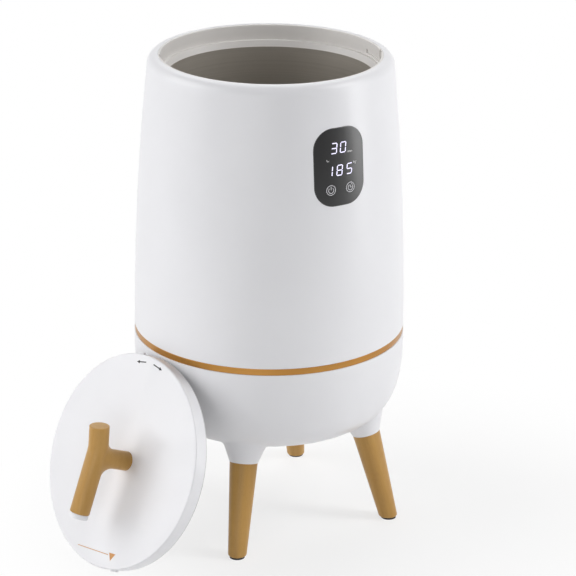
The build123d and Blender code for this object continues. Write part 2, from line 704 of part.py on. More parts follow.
with BuildPart() as terminal:
    with BuildSketch(Plane.XY.offset(board_top)):
        with Locations((0, terminal_row)):
            Rectangle(TERMINAL_SIZE[0], TERMINAL_SIZE[1])
    extrude(amount=TERMINAL_SIZE[2])
    with BuildSketch(Plane.XY.offset(board_top + TERMINAL_SIZE[2])):
        with Locations((0, terminal_row)):
            with GridLocations(terminal_pitch, terminal_pitch, TERMINAL_WAYS, 1):
                Circle(TERMINAL_SIZE[1] / 4)
    extrude(amount=-TERMINAL_SIZE[2] / 4, mode=Mode.SUBTRACT)
finish(terminal, "terminal_block")

with BuildPart() as capacitors:
    with BuildSketch(Plane.XY.offset(board_top)):
        with Locations((0, CAPACITOR_ROW)):
            with GridLocations(CAPACITOR_PITCH, CAPACITOR_PITCH, CAPACITOR_COUNT, 1):
                Circle(CAPACITOR_RADIUS)
    extrude(amount=CAPACITOR_HEIGHT)
    fillet(capacitors.edges().group_by(Axis.Z)[-1], CAPACITOR_RADIUS / 6)
finish(capacitors, "capacitors")

# ---------------------------------------------------------------- rim collar
liner_flange_radius = liner_mouth_radius + LINER_WALL + LINER_FLANGE
liner_screw_circle = liner_flange_radius - SMALL_SCREW[1] - FIT
liner_screw_count = 2 * LUG_COUNT
liner_screw_start = LUG_SLOT_AZIMUTH + LUG_TURN * 2
lug_low = seat_height + LUG_RISE - SLIP
lug_high = seat_height + LUG_RISE + LUG_HEIGHT + SLIP
slot_width = LUG_WIDTH + 2 * LUG_SLOT_PLAY
slot_outer = mouth_radius + LUG_SLOT_DEPTH

with BuildPart() as collar:
    with BuildSketch(Plane.XZ):
        with BuildLine():
            Polyline(
                (mouth_radius, collar_top),
                (mouth_radius, seat_height),
                (seat_inner, seat_height),
                (step_inner, collar_bottom),
                (collar_outer, collar_bottom),
                (collar_outer, skirt_bottom - FIT - COLLAR_FLANGE_THICKNESS),
                (collar_outer + COLLAR_FLANGE, skirt_bottom - FIT - COLLAR_FLANGE_THICKNESS),
                (collar_outer + COLLAR_FLANGE, skirt_bottom),
                (collar_outer, skirt_bottom),
                (collar_outer, collar_top),
                close=True,
            )
        make_face()
    revolve(axis=Axis.Z)
    fillet(near(collar.edges(), (0, mouth_radius, collar_top)), COLLAR_WALL / 4)
    fillet(near(collar.edges(), (0, seat_inner, seat_height)), SEAT_WIDTH / 6)
    for slot in range(LUG_COUNT):
        azimuth = LUG_SLOT_AZIMUTH + slot * 360 / LUG_COUNT
        way = (cos(radians(azimuth)), sin(radians(azimuth)), 0)
        # Entry slot, open to the rim
        with BuildSketch(Plane(origin=(0, 0, lug_low), x_dir=way, z_dir=(0, 0, 1))):
            with Locations((slot_outer, 0)):
                Rectangle(SEAT_WIDTH + LUG_SLOT_DEPTH, slot_width, align=(Align.MAX, Align.CENTER))
            Circle(seat_inner, mode=Mode.SUBTRACT)
        extrude(amount=collar_top - lug_low, mode=Mode.SUBTRACT)
        # Locking groove that runs on round the wall
        across = (sin(radians(azimuth)), -cos(radians(azimuth)), 0)
        with BuildSketch(Plane(origin=(0, 0, 0), x_dir=way, z_dir=across)):
            with Locations((seat_inner, lug_low)):
                Rectangle(slot_outer - seat_inner, lug_high - lug_low, align=Align.MIN)
        revolve(axis=Axis.Z, revolution_arc=LUG_TURN, mode=Mode.SUBTRACT)
    # Bores for the screws that hold the liner
    with BuildSketch(Plane.XY.offset(collar_bottom)):
        with PolarLocations(liner_screw_circle, liner_screw_count, start_angle=liner_screw_start):
            Circle(SMALL_SCREW[0])
    extrude(amount=STEP_DEPTH * SCREW_FILL, mode=Mode.SUBTRACT)
finish(collar, "rim_collar")

# ---------------------------------------------------------------- liner
liner_under = liner_floor - LINER_WALL
liner_slope = (liner_mouth_radius - liner_floor_radius) / (collar_bottom - liner_floor)


def liner_radius(height, outward=0.0):
    """Inner radius of the liner's tapered wall at a height, or an offset outward from it."""
    return liner_floor_radius + liner_slope * (height - liner_floor) + outward


def liner_cup(outward, floor, corner):
    """A solid cup with the liner's taper, used for its outside and its inside."""
    with BuildPart(mode=Mode.PRIVATE) as cup:
        with BuildSketch(Plane.XY.offset(floor)):
            Circle(liner_radius(floor, outward))
        with BuildSketch(Plane.XY.offset(collar_bottom)):
            Circle(liner_radius(collar_bottom, outward))
        loft()
        fillet(cup.edges().sort_by(Axis.Z)[0], corner)
    return cup.part


with BuildPart() as liner:
    add(liner_cup(LINER_WALL, liner_under, LINER_CORNER + LINER_WALL))
    with BuildSketch(Plane.XY.offset(collar_bottom)):
        Circle(liner_flange_radius)
    extrude(amount=-LINER_WALL)
    add(liner_cup(0, liner_floor, LINER_CORNER), mode=Mode.SUBTRACT)
    with BuildSketch(Plane.XY.offset(collar_bottom)):
        with PolarLocations(liner_screw_circle, liner_screw_count, start_angle=liner_screw_start):
            Circle(SMALL_SCREW[0] + FIT)
    extrude(amount=-LINER_WALL, mode=Mode.SUBTRACT)
finish(liner, "liner")

liner_screw_planes = [
    Plane(
        origin=Vector(liner_screw_circle, 0, collar_bottom - LINER_WALL).rotate(
            Axis.Z, liner_screw_start + step * 360 / liner_screw_count
        ),
        z_dir=(0, 0, -1),
    )
    for step in range(liner_screw_count)
]
screw_set("liner_screws", liner_screw_planes, SMALL_SCREW, LINER_WALL + STEP_DEPTH * SCREW_FILL)

# ---------------------------------------------------------------- heating and insulation


def tapered_ring(low, high, inner, outer):
    """A ring that follows the liner's taper between two offsets from its inner face."""
    with BuildPart(mode=Mode.PRIVATE) as ring_part:
        with BuildSketch(Plane.XZ):
            Polygon(
                (liner_radius(low, inner), low),
                (liner_radius(low, outer), low),
                (liner_radius(high, outer), high),
                (liner_radius(high, inner), high),
                align=None,
            )
        revolve(axis=Axis.Z)
    return ring_part.part


heater_inner = LINER_WALL + HEATER_PLAY
heater_bottom = liner_floor + HEATER_RISE
heater_top = heater_bottom + HEATER_HEIGHT
plate_radius = liner_floor_radius - PLATE_INSET
felt_radius = liner_floor_radius - FELT_INSET
sleeve_bottom = liner_floor + SLEEVE_RISE
sleeve_top = RIM_HEIGHT - SLEEVE_DROP

with BuildPart() as heater:
    add(tapered_ring(heater_bottom, heater_top, heater_inner, heater_inner + HEATER_THICKNESS))
    with BuildSketch(Plane.XY.offset(heater_bottom)):
        Rectangle(HEATER_SPLIT, 2 * liner_mouth_radius, align=(Align.CENTER, Align.MIN))
    extrude(amount=heater_top - heater_bottom, mode=Mode.SUBTRACT)
finish(heater, "heater_band")

with BuildPart() as plate:
    with BuildSketch(Plane.XY.offset(liner_under - PLATE_THICKNESS)):
        Circle(plate_radius)
    extrude(amount=PLATE_THICKNESS)
    fillet(plate.edges().sort_by(Axis.Z)[0], PLATE_THICKNESS / 4)
finish(plate, "heater_plate")

plate_under = liner_under - PLATE_THICKNESS
with BuildPart() as felt:
    with BuildSketch(Plane.XY.offset(plate_under - FELT_THICKNESS)):
        Circle(felt_radius)
        with PolarLocations(SENSOR_PITCH, round(360 / SENSOR_TURN)):
            Circle(SENSOR_WINDOW, mode=Mode.SUBTRACT)
    extrude(amount=FELT_THICKNESS)
finish(felt, "base_insulation")

with BuildPart() as thermostat:
    with BuildSketch(Plane.XY.offset(plate_under)):
        with Locations((SENSOR_PITCH, 0)):
            Circle(THERMOSTAT_RADIUS)
    extrude(amount=-THERMOSTAT_HEIGHT / 2)
    with BuildSketch(Plane.XY.offset(plate_under - THERMOSTAT_HEIGHT / 2)):
        with Locations((SENSOR_PITCH, 0)):
            Circle(THERMOSTAT_NECK)
    extrude(amount=-THERMOSTAT_HEIGHT / 2)
finish(thermostat, "thermostat")

fuse_place = Vector(SENSOR_PITCH, 0, plate_under - FUSE_RADIUS).rotate(Axis.Z, SENSOR_TURN)
with BuildPart() as fuse:
    with BuildSketch(Plane(origin=fuse_place, z_dir=(1, 0, 0)).offset(-FUSE_LENGTH / 2)):
        Circle(FUSE_RADIUS)
    extrude(amount=FUSE_LENGTH)
    chamfer(fuse.edges().filter_by(GeomType.CIRCLE), FUSE_RADIUS / 3)
finish(fuse, "thermal_fuse")

with BuildPart() as sensor:
    sensor_place = Vector(SENSOR_PITCH, 0, plate_under).rotate(Axis.Z, 2 * SENSOR_TURN)
    with BuildSketch(Plane(origin=sensor_place, z_dir=(0, 0, -1))):
        Circle(SENSOR_RADIUS)
    extrude(amount=SENSOR_HEIGHT)
    fillet(sensor.edges().sort_by(Axis.Z)[0], SENSOR_RADIUS / 2)
finish(sensor, "temperature_sensor")

notch_back = carrier_face - CARRIER_THICKNESS - SMALL_SCREW[2] - CARRIER_ROOM
notch_width = carrier_width + 2 * CARRIER_ROOM
notch_height = BOARD_HEIGHT + 2 * CARRIER_LIP + 2 * CARRIER_ROOM
sleeve_clear = heater_inner + HEATER_THICKNESS + HEATER_PLAY

with BuildPart() as sleeve:
    add(tapered_ring(sleeve_bottom, sleeve_top, sleeve_clear, sleeve_clear + SLEEVE_THICKNESS))
    # Room for the display carrier
    with BuildSketch(Plane.XZ.offset(notch_back)):
        with Locations((0, panel_middle)):
            Rectangle(notch_width, notch_height)
    extrude(amount=panel_reach - notch_back, mode=Mode.SUBTRACT)
finish(sleeve, "insulation_sleeve")

# ---------------------------------------------------------------- control panel
keys = {"power_key": -KEY_SPACING / 2, "timer_key": KEY_SPACING / 2}
key_height = panel_middle - KEY_DROP
lens_inner = LENS_PROUD - LENS_THICKNESS


def key_pin(x, radius, start, stop):
    """A round pin straight out through the panel at a key's place."""
    with BuildPart(mode=Mode.PRIVATE) as pin:
        with BuildSketch(Plane.XZ.offset(start)):
            with Locations((x, key_height)):
                Circle(radius)
        extrude(amount=stop - start)
    return pin.part


with BuildPart() as lens:
    add(panel_prism(0, panel_root, panel_reach) & wall_band(lens_inner, LENS_PROUD))
    fillet(lens.faces().sort_by(Axis.Y)[0].outer_wire().edges(), LENS_EDGE)
    for x in keys.values():
        add(key_pin(x, KEY_RADIUS + SLIP, panel_root, panel_reach), mode=Mode.SUBTRACT)
finish(lens, "panel_lens")

switch_face = board_face + SWITCH_HEIGHT
switch_well = switch_face - SWITCH_WELL
stem_tip = switch_well + KEY_TRAVEL + SLIP

key_flange_top = lens_inner - SLIP
key_flange_low = key_flange_top - KEY_FLANGE_THICKNESS
key_flange_radius = KEY_RADIUS + KEY_FLANGE

for name, x in keys.items():
    flange_depth = wall_depth(x, key_height, -key_flange_top)
    with BuildPart() as key:
        add(key_pin(x, KEY_RADIUS, panel_root, panel_reach) & wall_band(key_flange_low, LENS_PROUD))
        add(
            key_pin(x, key_flange_radius, panel_root, panel_reach)
            & wall_band(key_flange_low, key_flange_top)
        )
        add(key_pin(x, KEY_STEM_RADIUS, stem_tip, flange_depth))
    finish(key, name)

with BuildPart() as display_board:
    with BuildSketch(Plane.XZ.offset(board_face)):
        with Locations((0, panel_middle)):
            RectangleRounded(BOARD_WIDTH, BOARD_HEIGHT, BLOCK_EDGE)
    extrude(amount=-BOARD_THICKNESS)
finish(display_board, "display_board")

with BuildPart() as display_module:
    with BuildSketch(Plane.XZ.offset(board_face)):
        with Locations((0, panel_middle + MODULE_RISE)):
            Rectangle(MODULE_WIDTH, MODULE_HEIGHT)
    extrude(amount=MODULE_DEPTH)
    fillet(display_module.edges().filter_by(Axis.Y), BLOCK_EDGE)
finish(display_module, "display_module")

with BuildPart() as switches:
    with BuildSketch(Plane.XZ.offset(board_face)):
        with Locations((0, key_height)):
            with GridLocations(KEY_SPACING, KEY_SPACING, len(keys), 1):
                Rectangle(SWITCH_SIZE, SWITCH_SIZE)
    extrude(amount=SWITCH_HEIGHT)
    for x in keys.values():
        add(key_pin(x, KEY_STEM_RADIUS + SLIP, switch_well, switch_face), mode=Mode.SUBTRACT)
finish(switches, "key_switches")

with BuildPart() as carrier:
    with BuildSketch(Plane.XZ.offset(carrier_face)):
        with Locations((0, panel_middle)):
            RectangleRounded(carrier_width, BOARD_HEIGHT + 2 * CARRIER_LIP, CARRIER_LIP)
    extrude(amount=-CARRIER_THICKNESS)
    with BuildSketch(Plane.XZ.offset(board_face - BOARD_THICKNESS)):
        with Locations((0, panel_middle)):
            Rectangle(BOARD_WIDTH + 2 * FIT, BOARD_HEIGHT + 2 * FIT)
    extrude(amount=BOARD_THICKNESS + FIT, mode=Mode.SUBTRACT)
    with BuildSketch(Plane.XZ.offset(carrier_face)):
        with Locations((0, panel_middle)):
            Rectangle(BOARD_WIDTH - 2 * CARRIER_LIP, BOARD_HEIGHT - 2 * CARRIER_LIP)
    extrude(amount=-CARRIER_THICKNESS, mode=Mode.SUBTRACT)
    with BuildSketch(Plane.XZ.offset(carrier_face)):
        with Locations(*carrier_screws):
            Circle(SMALL_SCREW[0] + FIT)
    extrude(amount=-CARRIER_THICKNESS, mode=Mode.SUBTRACT)
finish(carrier, "display_carrier")

carrier_screw_planes = [
    Plane(origin=(x, CARRIER_THICKNESS - carrier_face, z), z_dir=(0, 1, 0)) for x, z in carrier_screws
]
carrier_screw_reach = CARRIER_THICKNESS + CARRIER_SCREW_GRIP * SCREW_FILL
screw_set("display_screws", carrier_screw_planes, SMALL_SCREW, carrier_screw_reach)

# ---------------------------------------------------------------- lid
lid_radius = mouth_radius - LID_PLAY
lid_screw_circle = lid_radius - LID_SCREW_INSET
lid_reach = lid_radius - SEAL_INSET
lean = radians(LID_LEAN)
lid_way = Vector(cos(radians(LID_AZIMUTH)), sin(radians(LID_AZIMUTH)), 0)
lid_out = lid_way * cos(lean) + Vector(0, 0, sin(lean))
lid_up = Vector(0, 0, cos(lean)) - lid_way * sin(lean)
lid_floor_radius = BODY_RADIUS + LEAN_GAP + 2 * lid_reach * sin(lean)
lid_origin = lid_way * (lid_floor_radius - lid_reach * sin(lean)) + Vector(0, 0, lid_reach * cos(lean))
lid_plane = Plane(origin=lid_origin, x_dir=lid_up.cross(lid_out), z_dir=lid_out)
lid_cavity = lid_radius - LID_SKIRT_WALL
lid_roof = LID_THICKNESS - LID_TOP_WALL
lug_start = 90 - LUG_PHASE
pan_top = PAN_RISE + PAN_THICKNESS
washer_low = lid_roof - WASHER_THICKNESS - BOSS_WALL
handle_place = (HANDLE_ACROSS, STEM_UP)
lid_boss_radius = SMALL_SCREW[0] + BOSS_WALL
seal_tongue_outer = lid_cavity - FIT
seal_tongue_inner = seal_tongue_outer - SEAL_TONGUE
pan_radius = seal_tongue_inner - FIT

with BuildPart() as lid:
    with BuildSketch(lid_plane.offset(SEAL_THICKNESS)):
        Circle(lid_radius)
    extrude(amount=LID_THICKNESS - SEAL_THICKNESS)
    rim_edges = lid.edges().filter_by(GeomType.CIRCLE)
    fillet(near(rim_edges, lid_plane.offset(LID_THICKNESS).origin), LID_EDGE)
    with BuildSketch(lid_plane.offset(SEAL_THICKNESS)):
        Circle(lid_cavity)
    extrude(amount=lid_roof - SEAL_THICKNESS, mode=Mode.SUBTRACT)
    # Bosses for the pan screws and for the handle
    with BuildSketch(lid_plane.offset(pan_top)):
        with PolarLocations(lid_screw_circle, LID_SCREW_COUNT, start_angle=LID_SCREW_PHASE):
            Circle(lid_boss_radius)
    extrude(amount=lid_roof - pan_top + FIT)
    with BuildSketch(lid_plane.offset(lid_roof - BOSS_WALL)):
        with Locations(handle_place):
            Circle(WASHER_RADIUS + BOSS_WALL)
    extrude(amount=BOSS_WALL + FIT)
    with BuildSketch(lid_plane.offset(pan_top)):
        with PolarLocations(lid_screw_circle, LID_SCREW_COUNT, start_angle=LID_SCREW_PHASE):
            Circle(SMALL_SCREW[0])
    extrude(amount=lid_roof - pan_top, mode=Mode.SUBTRACT)
    with BuildSketch(lid_plane.offset(lid_roof - BOSS_WALL)):
        with Locations(handle_place):
            Circle(LARGE_SCREW[0] + FIT)
    extrude(amount=LID_THICKNESS, mode=Mode.SUBTRACT)
    # Locking lugs on the rim
    with BuildSketch(lid_plane.offset(LUG_RISE)):
        with PolarLocations(lid_radius + LUG_PROUD, LUG_COUNT, start_angle=lug_start):
            Rectangle(LUG_PROUD + LID_SKIRT_WALL / 2, LUG_WIDTH, align=(Align.MAX, Align.CENTER))
    extrude(amount=LUG_HEIGHT)
finish(lid, "lid_cover")

with BuildPart() as pan:
    with BuildSketch(lid_plane.offset(PAN_RISE)):
        Circle(pan_radius)
        with PolarLocations(lid_screw_circle, LID_SCREW_COUNT, start_angle=LID_SCREW_PHASE):
            Circle(SMALL_SCREW[0] + FIT, mode=Mode.SUBTRACT)
    extrude(amount=PAN_THICKNESS)
finish(pan, "lid_pan")

lid_screw_planes = [
    Plane(
        origin=lid_plane.from_local_coords(
            Vector(lid_screw_circle, 0, PAN_RISE).rotate(
                Axis.Z, LID_SCREW_PHASE + step * 360 / LID_SCREW_COUNT
            )
        ),
        z_dir=-lid_plane.z_dir,
    )
    for step in range(LID_SCREW_COUNT)
]
lid_screw_reach = PAN_THICKNESS + (lid_roof - pan_top) * SCREW_FILL
screw_set("lid_screws", lid_screw_planes, SMALL_SCREW, lid_screw_reach)

with BuildPart() as lid_seal:
    with BuildSketch(lid_plane):
        Circle(lid_reach)
        Circle(seal_tongue_inner, mode=Mode.SUBTRACT)
    extrude(amount=SEAL_THICKNESS)
    with BuildSketch(lid_plane.offset(SEAL_THICKNESS)):
        Circle(seal_tongue_outer)
        Circle(seal_tongue_inner, mode=Mode.SUBTRACT)
    extrude(amount=SEAL_TONGUE_HEIGHT)
finish(lid_seal, "lid_seal")

with BuildPart() as foam:
    with BuildSketch(lid_plane.offset(pan_top)):
        Circle(pan_radius - BOSS_WALL)
        with PolarLocations(lid_screw_circle, LID_SCREW_COUNT, start_angle=LID_SCREW_PHASE):
            Circle(lid_boss_radius + FIT, mode=Mode.SUBTRACT)
        with Locations(handle_place):
            Circle(WASHER_RADIUS + BOSS_WALL + FIT, mode=Mode.SUBTRACT)
    extrude(amount=LID_FOAM_THICKNESS)
finish(foam, "lid_insulation")

# ---------------------------------------------------------------- handle
stem_plane = Plane(
    origin=lid_plane.from_local_coords((*handle_place, LID_THICKNESS)),
    x_dir=lid_plane.x_dir,
    z_dir=lid_out,
)
stick_plane = Plane(
    origin=lid_plane.from_local_coords((HANDLE_ACROSS, 0, LID_THICKNESS)),
    x_dir=lid_up,
    z_dir=lid_plane.x_dir,
)

with BuildPart() as handle:
    with BuildLine(stick_plane) as stick_line:
        FilletPolyline(
            (-STICK_DOWN, STICK_LOW_STAND),
            (BEND_UP, STICK_STAND),
            (STICK_UP, STICK_STAND + STICK_RISE),
            radius=STICK_BEND,
        )
    stick_path = stick_line.wire()
    stick_end = Plane(origin=stick_path @ 0, x_dir=lid_plane.x_dir, z_dir=stick_path % 0)
    with BuildSketch(stick_end):
        Circle(STICK_RADIUS)
    sweep(path=stick_path)
    with BuildSketch(stem_plane):
        Circle(STEM_RADIUS)
    extrude(amount=STICK_STAND)
    fillet(handle.edges().filter_by(GeomType.BSPLINE), STEM_BLEND)
    ends = handle.edges().filter_by(GeomType.CIRCLE)
    fillet([near(ends, stick_path @ 0), near(ends, stick_path @ 1)], STICK_EDGE)
    with BuildSketch(stick_end):
        Circle(TIP_SPIGOT_RADIUS)
    extrude(amount=TIP_SPIGOT_LENGTH, mode=Mode.SUBTRACT)
    with BuildSketch(stem_plane):
        Circle(LARGE_SCREW[0])
    extrude(amount=HANDLE_SCREW_REACH, mode=Mode.SUBTRACT)
finish(handle, "handle")

with BuildPart() as tip:
    with BuildSketch(stick_end):
        Circle(TIP_SPIGOT_RADIUS)
    extrude(amount=TIP_SPIGOT_LENGTH)
    with BuildSketch(stick_end):
        Circle(STICK_RADIUS - TIP_STEP)
    extrude(amount=-TIP_LENGTH)
    tip_circles = tip.edges().filter_by(GeomType.CIRCLE)
    fillet(near(tip_circles, stick_end.offset(-2 * TIP_LENGTH).origin), STICK_EDGE)
finish(tip, "handle_tip")

with BuildPart() as washer:
    with BuildSketch(stem_plane.offset(washer_low - LID_THICKNESS)):
        Circle(WASHER_RADIUS)
        Circle(LARGE_SCREW[0] + FIT, mode=Mode.SUBTRACT)
    extrude(amount=WASHER_THICKNESS)
finish(washer, "handle_washer")

handle_screw_plane = Plane(origin=stem_plane.offset(washer_low - LID_THICKNESS).origin, z_dir=-lid_out)
handle_screw_reach = LID_THICKNESS - washer_low + HANDLE_SCREW_REACH * SCREW_FILL
screw_set("handle_screw", [handle_screw_plane], LARGE_SCREW, handle_screw_reach)
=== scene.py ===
# %% [markdown]
# # A heated towel bucket, dressed in Blender
# The bucket's solids come from a CAD model and are loaded as a fixed frame. This lesson gives
# each of them the finish that it has on the real product, adds what is printed or lit on it,
# and sets up the floor, the light and the camera. Everything is in metres, +Z up, with the
# origin on the floor under the bucket's axis and the control panel facing -Y.

# %% Load the solids
import json
from math import cos, pi, radians, sin, tan

import bmesh
import bpy
from mathutils import Matrix, Vector
from mathutils.bvhtree import BVHTree

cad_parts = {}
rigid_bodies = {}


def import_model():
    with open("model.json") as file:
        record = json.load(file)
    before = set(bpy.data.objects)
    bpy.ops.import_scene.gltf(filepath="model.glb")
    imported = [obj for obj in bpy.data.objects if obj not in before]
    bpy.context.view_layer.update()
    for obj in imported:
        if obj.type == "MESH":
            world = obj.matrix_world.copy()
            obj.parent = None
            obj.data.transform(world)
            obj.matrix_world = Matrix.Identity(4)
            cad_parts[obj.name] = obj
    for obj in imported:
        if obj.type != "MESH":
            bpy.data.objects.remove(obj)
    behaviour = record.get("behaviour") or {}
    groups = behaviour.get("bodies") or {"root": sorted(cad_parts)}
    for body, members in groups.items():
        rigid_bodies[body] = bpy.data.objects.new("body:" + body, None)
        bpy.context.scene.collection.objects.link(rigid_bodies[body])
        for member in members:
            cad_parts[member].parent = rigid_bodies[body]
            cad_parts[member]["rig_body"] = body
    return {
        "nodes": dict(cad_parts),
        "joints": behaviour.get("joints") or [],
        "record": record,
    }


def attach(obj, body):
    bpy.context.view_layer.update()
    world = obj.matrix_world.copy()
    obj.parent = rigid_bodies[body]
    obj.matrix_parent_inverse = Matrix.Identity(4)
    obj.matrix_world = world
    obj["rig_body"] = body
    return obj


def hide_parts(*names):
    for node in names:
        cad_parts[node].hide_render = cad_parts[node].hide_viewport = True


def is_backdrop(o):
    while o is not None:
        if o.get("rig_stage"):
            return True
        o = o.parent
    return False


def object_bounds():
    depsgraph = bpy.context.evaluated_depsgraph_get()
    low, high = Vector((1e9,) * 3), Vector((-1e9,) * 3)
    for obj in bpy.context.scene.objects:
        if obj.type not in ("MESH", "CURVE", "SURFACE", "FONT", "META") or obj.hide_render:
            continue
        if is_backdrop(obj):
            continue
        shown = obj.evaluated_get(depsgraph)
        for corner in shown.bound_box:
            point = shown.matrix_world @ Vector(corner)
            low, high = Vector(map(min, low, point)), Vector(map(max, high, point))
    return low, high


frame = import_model()
cad_low, cad_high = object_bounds()
cad_box = [list(cad_low), list(cad_high)]
MM = 0.001
size_mm = [round((high - low) / MM) for low, high in zip(*cad_box)]
print("solids", len(frame["nodes"]), "size in mm", size_mm)

# %% [markdown]
# ## Two small tools
# Colours are written as sRGB hex, as a paint chart gives them, but the renderer works with
# linear light, so one function turns one into the other. A second function adds a shader node
# with its settings and its links in one line, which keeps each material short enough to read.
# Most sockets are named. A Mix node has several of one name, so its sockets go by their place.

# %% Colour and node tools
WHITE = (1, 1, 1, 1)
NUMBER_A, NUMBER_B = 2, 3             # places of a Mix node's two numbers
COLOUR_A, COLOUR_B, MIXED = 6, 7, 2   # places of its two colours, and of the colour that it gives


def linear(hex_colour):
    """An sRGB hex colour as linear red, green, blue and alpha."""
    shares = [int(hex_colour[i : i + 2], 16) / 255 for i in (1, 3, 5)]
    return tuple(c / 12.92 if c <= 0.04045 else ((c + 0.055) / 1.055) ** 2.4 for c in shares) + (1,)


def add_node(tree, kind, inputs=None, **settings):
    """Add one node: settings are its properties, inputs its values or links, by name or place."""
    made = tree.nodes.new(kind)
    for name, value in settings.items():
        setattr(made, name, value)
    for name, value in (inputs or {}).items():
        if isinstance(value, bpy.types.NodeSocket):
            tree.links.new(value, made.inputs[name])
        else:
            made.inputs[name].default_value = value
    return made


def new_material(name, **surface):
    """A material with one Principled surface, its values set by socket name."""
    material = bpy.data.materials.new(name)
    material.use_nodes = True
    tree = material.node_tree
    tree.nodes.clear()
    values = {key.replace("_", " "): value for key, value in surface.items()}
    shader = add_node(tree, "ShaderNodeBsdfPrincipled", values)
    add_node(tree, "ShaderNodeOutputMaterial", {"Surface": shader.outputs[0]})
    return material, tree, shader


print("white is", [round(c, 3) for c in linear("#F2F2F4")])

# %% [markdown]
# ## The camera
# A long lens from a few metres away keeps the bucket's sides nearly parallel. The camera stands
# in front and to the left, well above the rim, and looks down into the mouth. A constraint could
# aim it at the bucket, but plain turns keep an exact view more simply: one round the vertical,
# one down, and a slight roll.

# %% Camera
CAMERA_PLACE = (-1.51931, -2.48903, 1.3834)
CAMERA_HEADING = radians(-31.841)    # turned to the right of +Y
CAMERA_PITCH = radians(20.644)       # looking down
CAMERA_ROLL = radians(0.561)
LENS_MM, SENSOR_MM = 162.5, 36       # focal length and the sensor's width

camera = bpy.data.objects.new("camera", bpy.data.cameras.new("camera"))
camera.data.sensor_width = SENSOR_MM
camera.data.lens = LENS_MM
camera.matrix_world = (
    Matrix.Translation(CAMERA_PLACE)
    @ Matrix.Rotation(CAMERA_HEADING, 4, "Z")
    @ Matrix.Rotation(pi / 2 - CAMERA_PITCH, 4, "X")
    @ Matrix.Rotation(CAMERA_ROLL, 4, "Z")
)
bpy.context.scene.collection.objects.link(camera)
bpy.context.scene.camera = camera
print("camera distance in m", round(Vector(CAMERA_PLACE).length, 2))

# %% [markdown]
# ## Floor and background
# The floor is pale paper and the backdrop is white. More light would make them white too, but it
# would wash out the bucket. So the bucket is lit at a plain level, and the white is only what
# the camera is shown: all of the backdrop, and the paper further off. The paper near the bucket
# stays partly lit like any card, and takes a soft shadow.
#
# Glossy things show the room round them. A room that is white all over would wash out the black
# panel, so the room that gloss mirrors is white on the backdrop's side and dim on the camera's,
# and the paper ends not far in front of the bucket.

# %% World
BACKDROP_WAY = (0.52, 0.86, 0)        # from the camera towards the backdrop
DIM_ROOM = 0.2                        # of the backdrop's white, on the camera's side
DIM_BELOW, WHITE_ABOVE = -0.3, 0.5    # how far a way points to the backdrop, from about -1 to 1
FILL = 0.05                           # strength of the room's own light, beside the lamps

bpy.context.scene.view_settings.view_transform = "Standard"
world = bpy.data.worlds.new("studio")
bpy.context.scene.world = world
world.use_nodes = True
sky_tree = world.node_tree
sky_tree.nodes.clear()
paths = add_node(sky_tree, "ShaderNodeLightPath").outputs
looking = add_node(sky_tree, "ShaderNodeTexCoord").outputs["Generated"]
to_backdrop = add_node(
    sky_tree, "ShaderNodeVectorMath", {0: looking, 1: BACKDROP_WAY}, operation="DOT_PRODUCT"
)
studio = add_node(
    sky_tree, "ShaderNodeMapRange",
    {"Value": to_backdrop.outputs["Value"], "From Min": DIM_BELOW, "From Max": WHITE_ABOVE,
     "To Min": DIM_ROOM, "To Max": 1.0},
)
mirrored = add_node(
    sky_tree, "ShaderNodeMath",
    {0: paths["Is Glossy Ray"], 1: paths["Is Transmission Ray"]}, operation="MAXIMUM",
)
fill = add_node(sky_tree, "ShaderNodeBackground", {"Color": linear("#F4F5F8"), "Strength": FILL})
room = add_node(sky_tree, "ShaderNodeBackground", {"Color": WHITE, "Strength": studio.outputs[0]})
white = add_node(sky_tree, "ShaderNodeBackground", {"Color": WHITE, "Strength": 1.0})
unseen = add_node(
    sky_tree, "ShaderNodeMixShader", {0: mirrored.outputs[0], 1: fill.outputs[0], 2: room.outputs[0]}
)
sky = add_node(
    sky_tree, "ShaderNodeMixShader", {0: paths["Is Camera Ray"], 1: unseen.outputs[0], 2: white.outputs[0]}
)
add_node(sky_tree, "ShaderNodeOutputWorld", {"Surface": sky.outputs[0]})
print("the mirrored room is", DIM_ROOM, "to 1.0 of white")

# %% Floor
FLOOR_SIZE = 3.4
SHADOW_MIDDLE = (0.08, -0.12, 0)
NEAR_PAPER, FAR_PAPER = 0.12, 0.5     # metres from SHADOW_MIDDLE, between which the paper turns white
NEAR_GLOW = 0.68                      # share of plain white near the shadow, the rest being lit paper

bpy.ops.mesh.primitive_plane_add(size=FLOOR_SIZE)
floor = bpy.context.object
floor.name = "floor"
# Uncoated paper: no shine at all, and a white that takes a shadow without a colour of its own.
paper, paper_tree, lit_paper = new_material(
    "pale_paper_floor", Base_Color=linear("#F6F6F6"), Roughness=0.9
)
paper_paths = add_node(paper_tree, "ShaderNodeLightPath").outputs
paper_place = add_node(paper_tree, "ShaderNodeTexCoord").outputs["Object"]
shown = add_node(
    paper_tree, "ShaderNodeMath",
    {0: paper_paths["Is Camera Ray"], 1: paper_paths["Is Glossy Ray"]}, operation="MAXIMUM",
)
away = add_node(
    paper_tree, "ShaderNodeVectorMath", {0: paper_place, 1: SHADOW_MIDDLE}, operation="DISTANCE"
)
whiter = add_node(
    paper_tree, "ShaderNodeMapRange",
    {"Value": away.outputs["Value"], "From Min": NEAR_PAPER, "From Max": FAR_PAPER,
     "To Min": NEAR_GLOW, "To Max": 1.0},
    interpolation_type="SMOOTHSTEP",
)
share = add_node(
    paper_tree, "ShaderNodeMath", {0: shown.outputs[0], 1: whiter.outputs[0]}, operation="MULTIPLY"
)
glow = add_node(paper_tree, "ShaderNodeEmission", {"Color": WHITE, "Strength": 1.0})
laid = add_node(
    paper_tree, "ShaderNodeMixShader", {0: share.outputs[0], 1: lit_paper.outputs[0], 2: glow.outputs[0]}
)
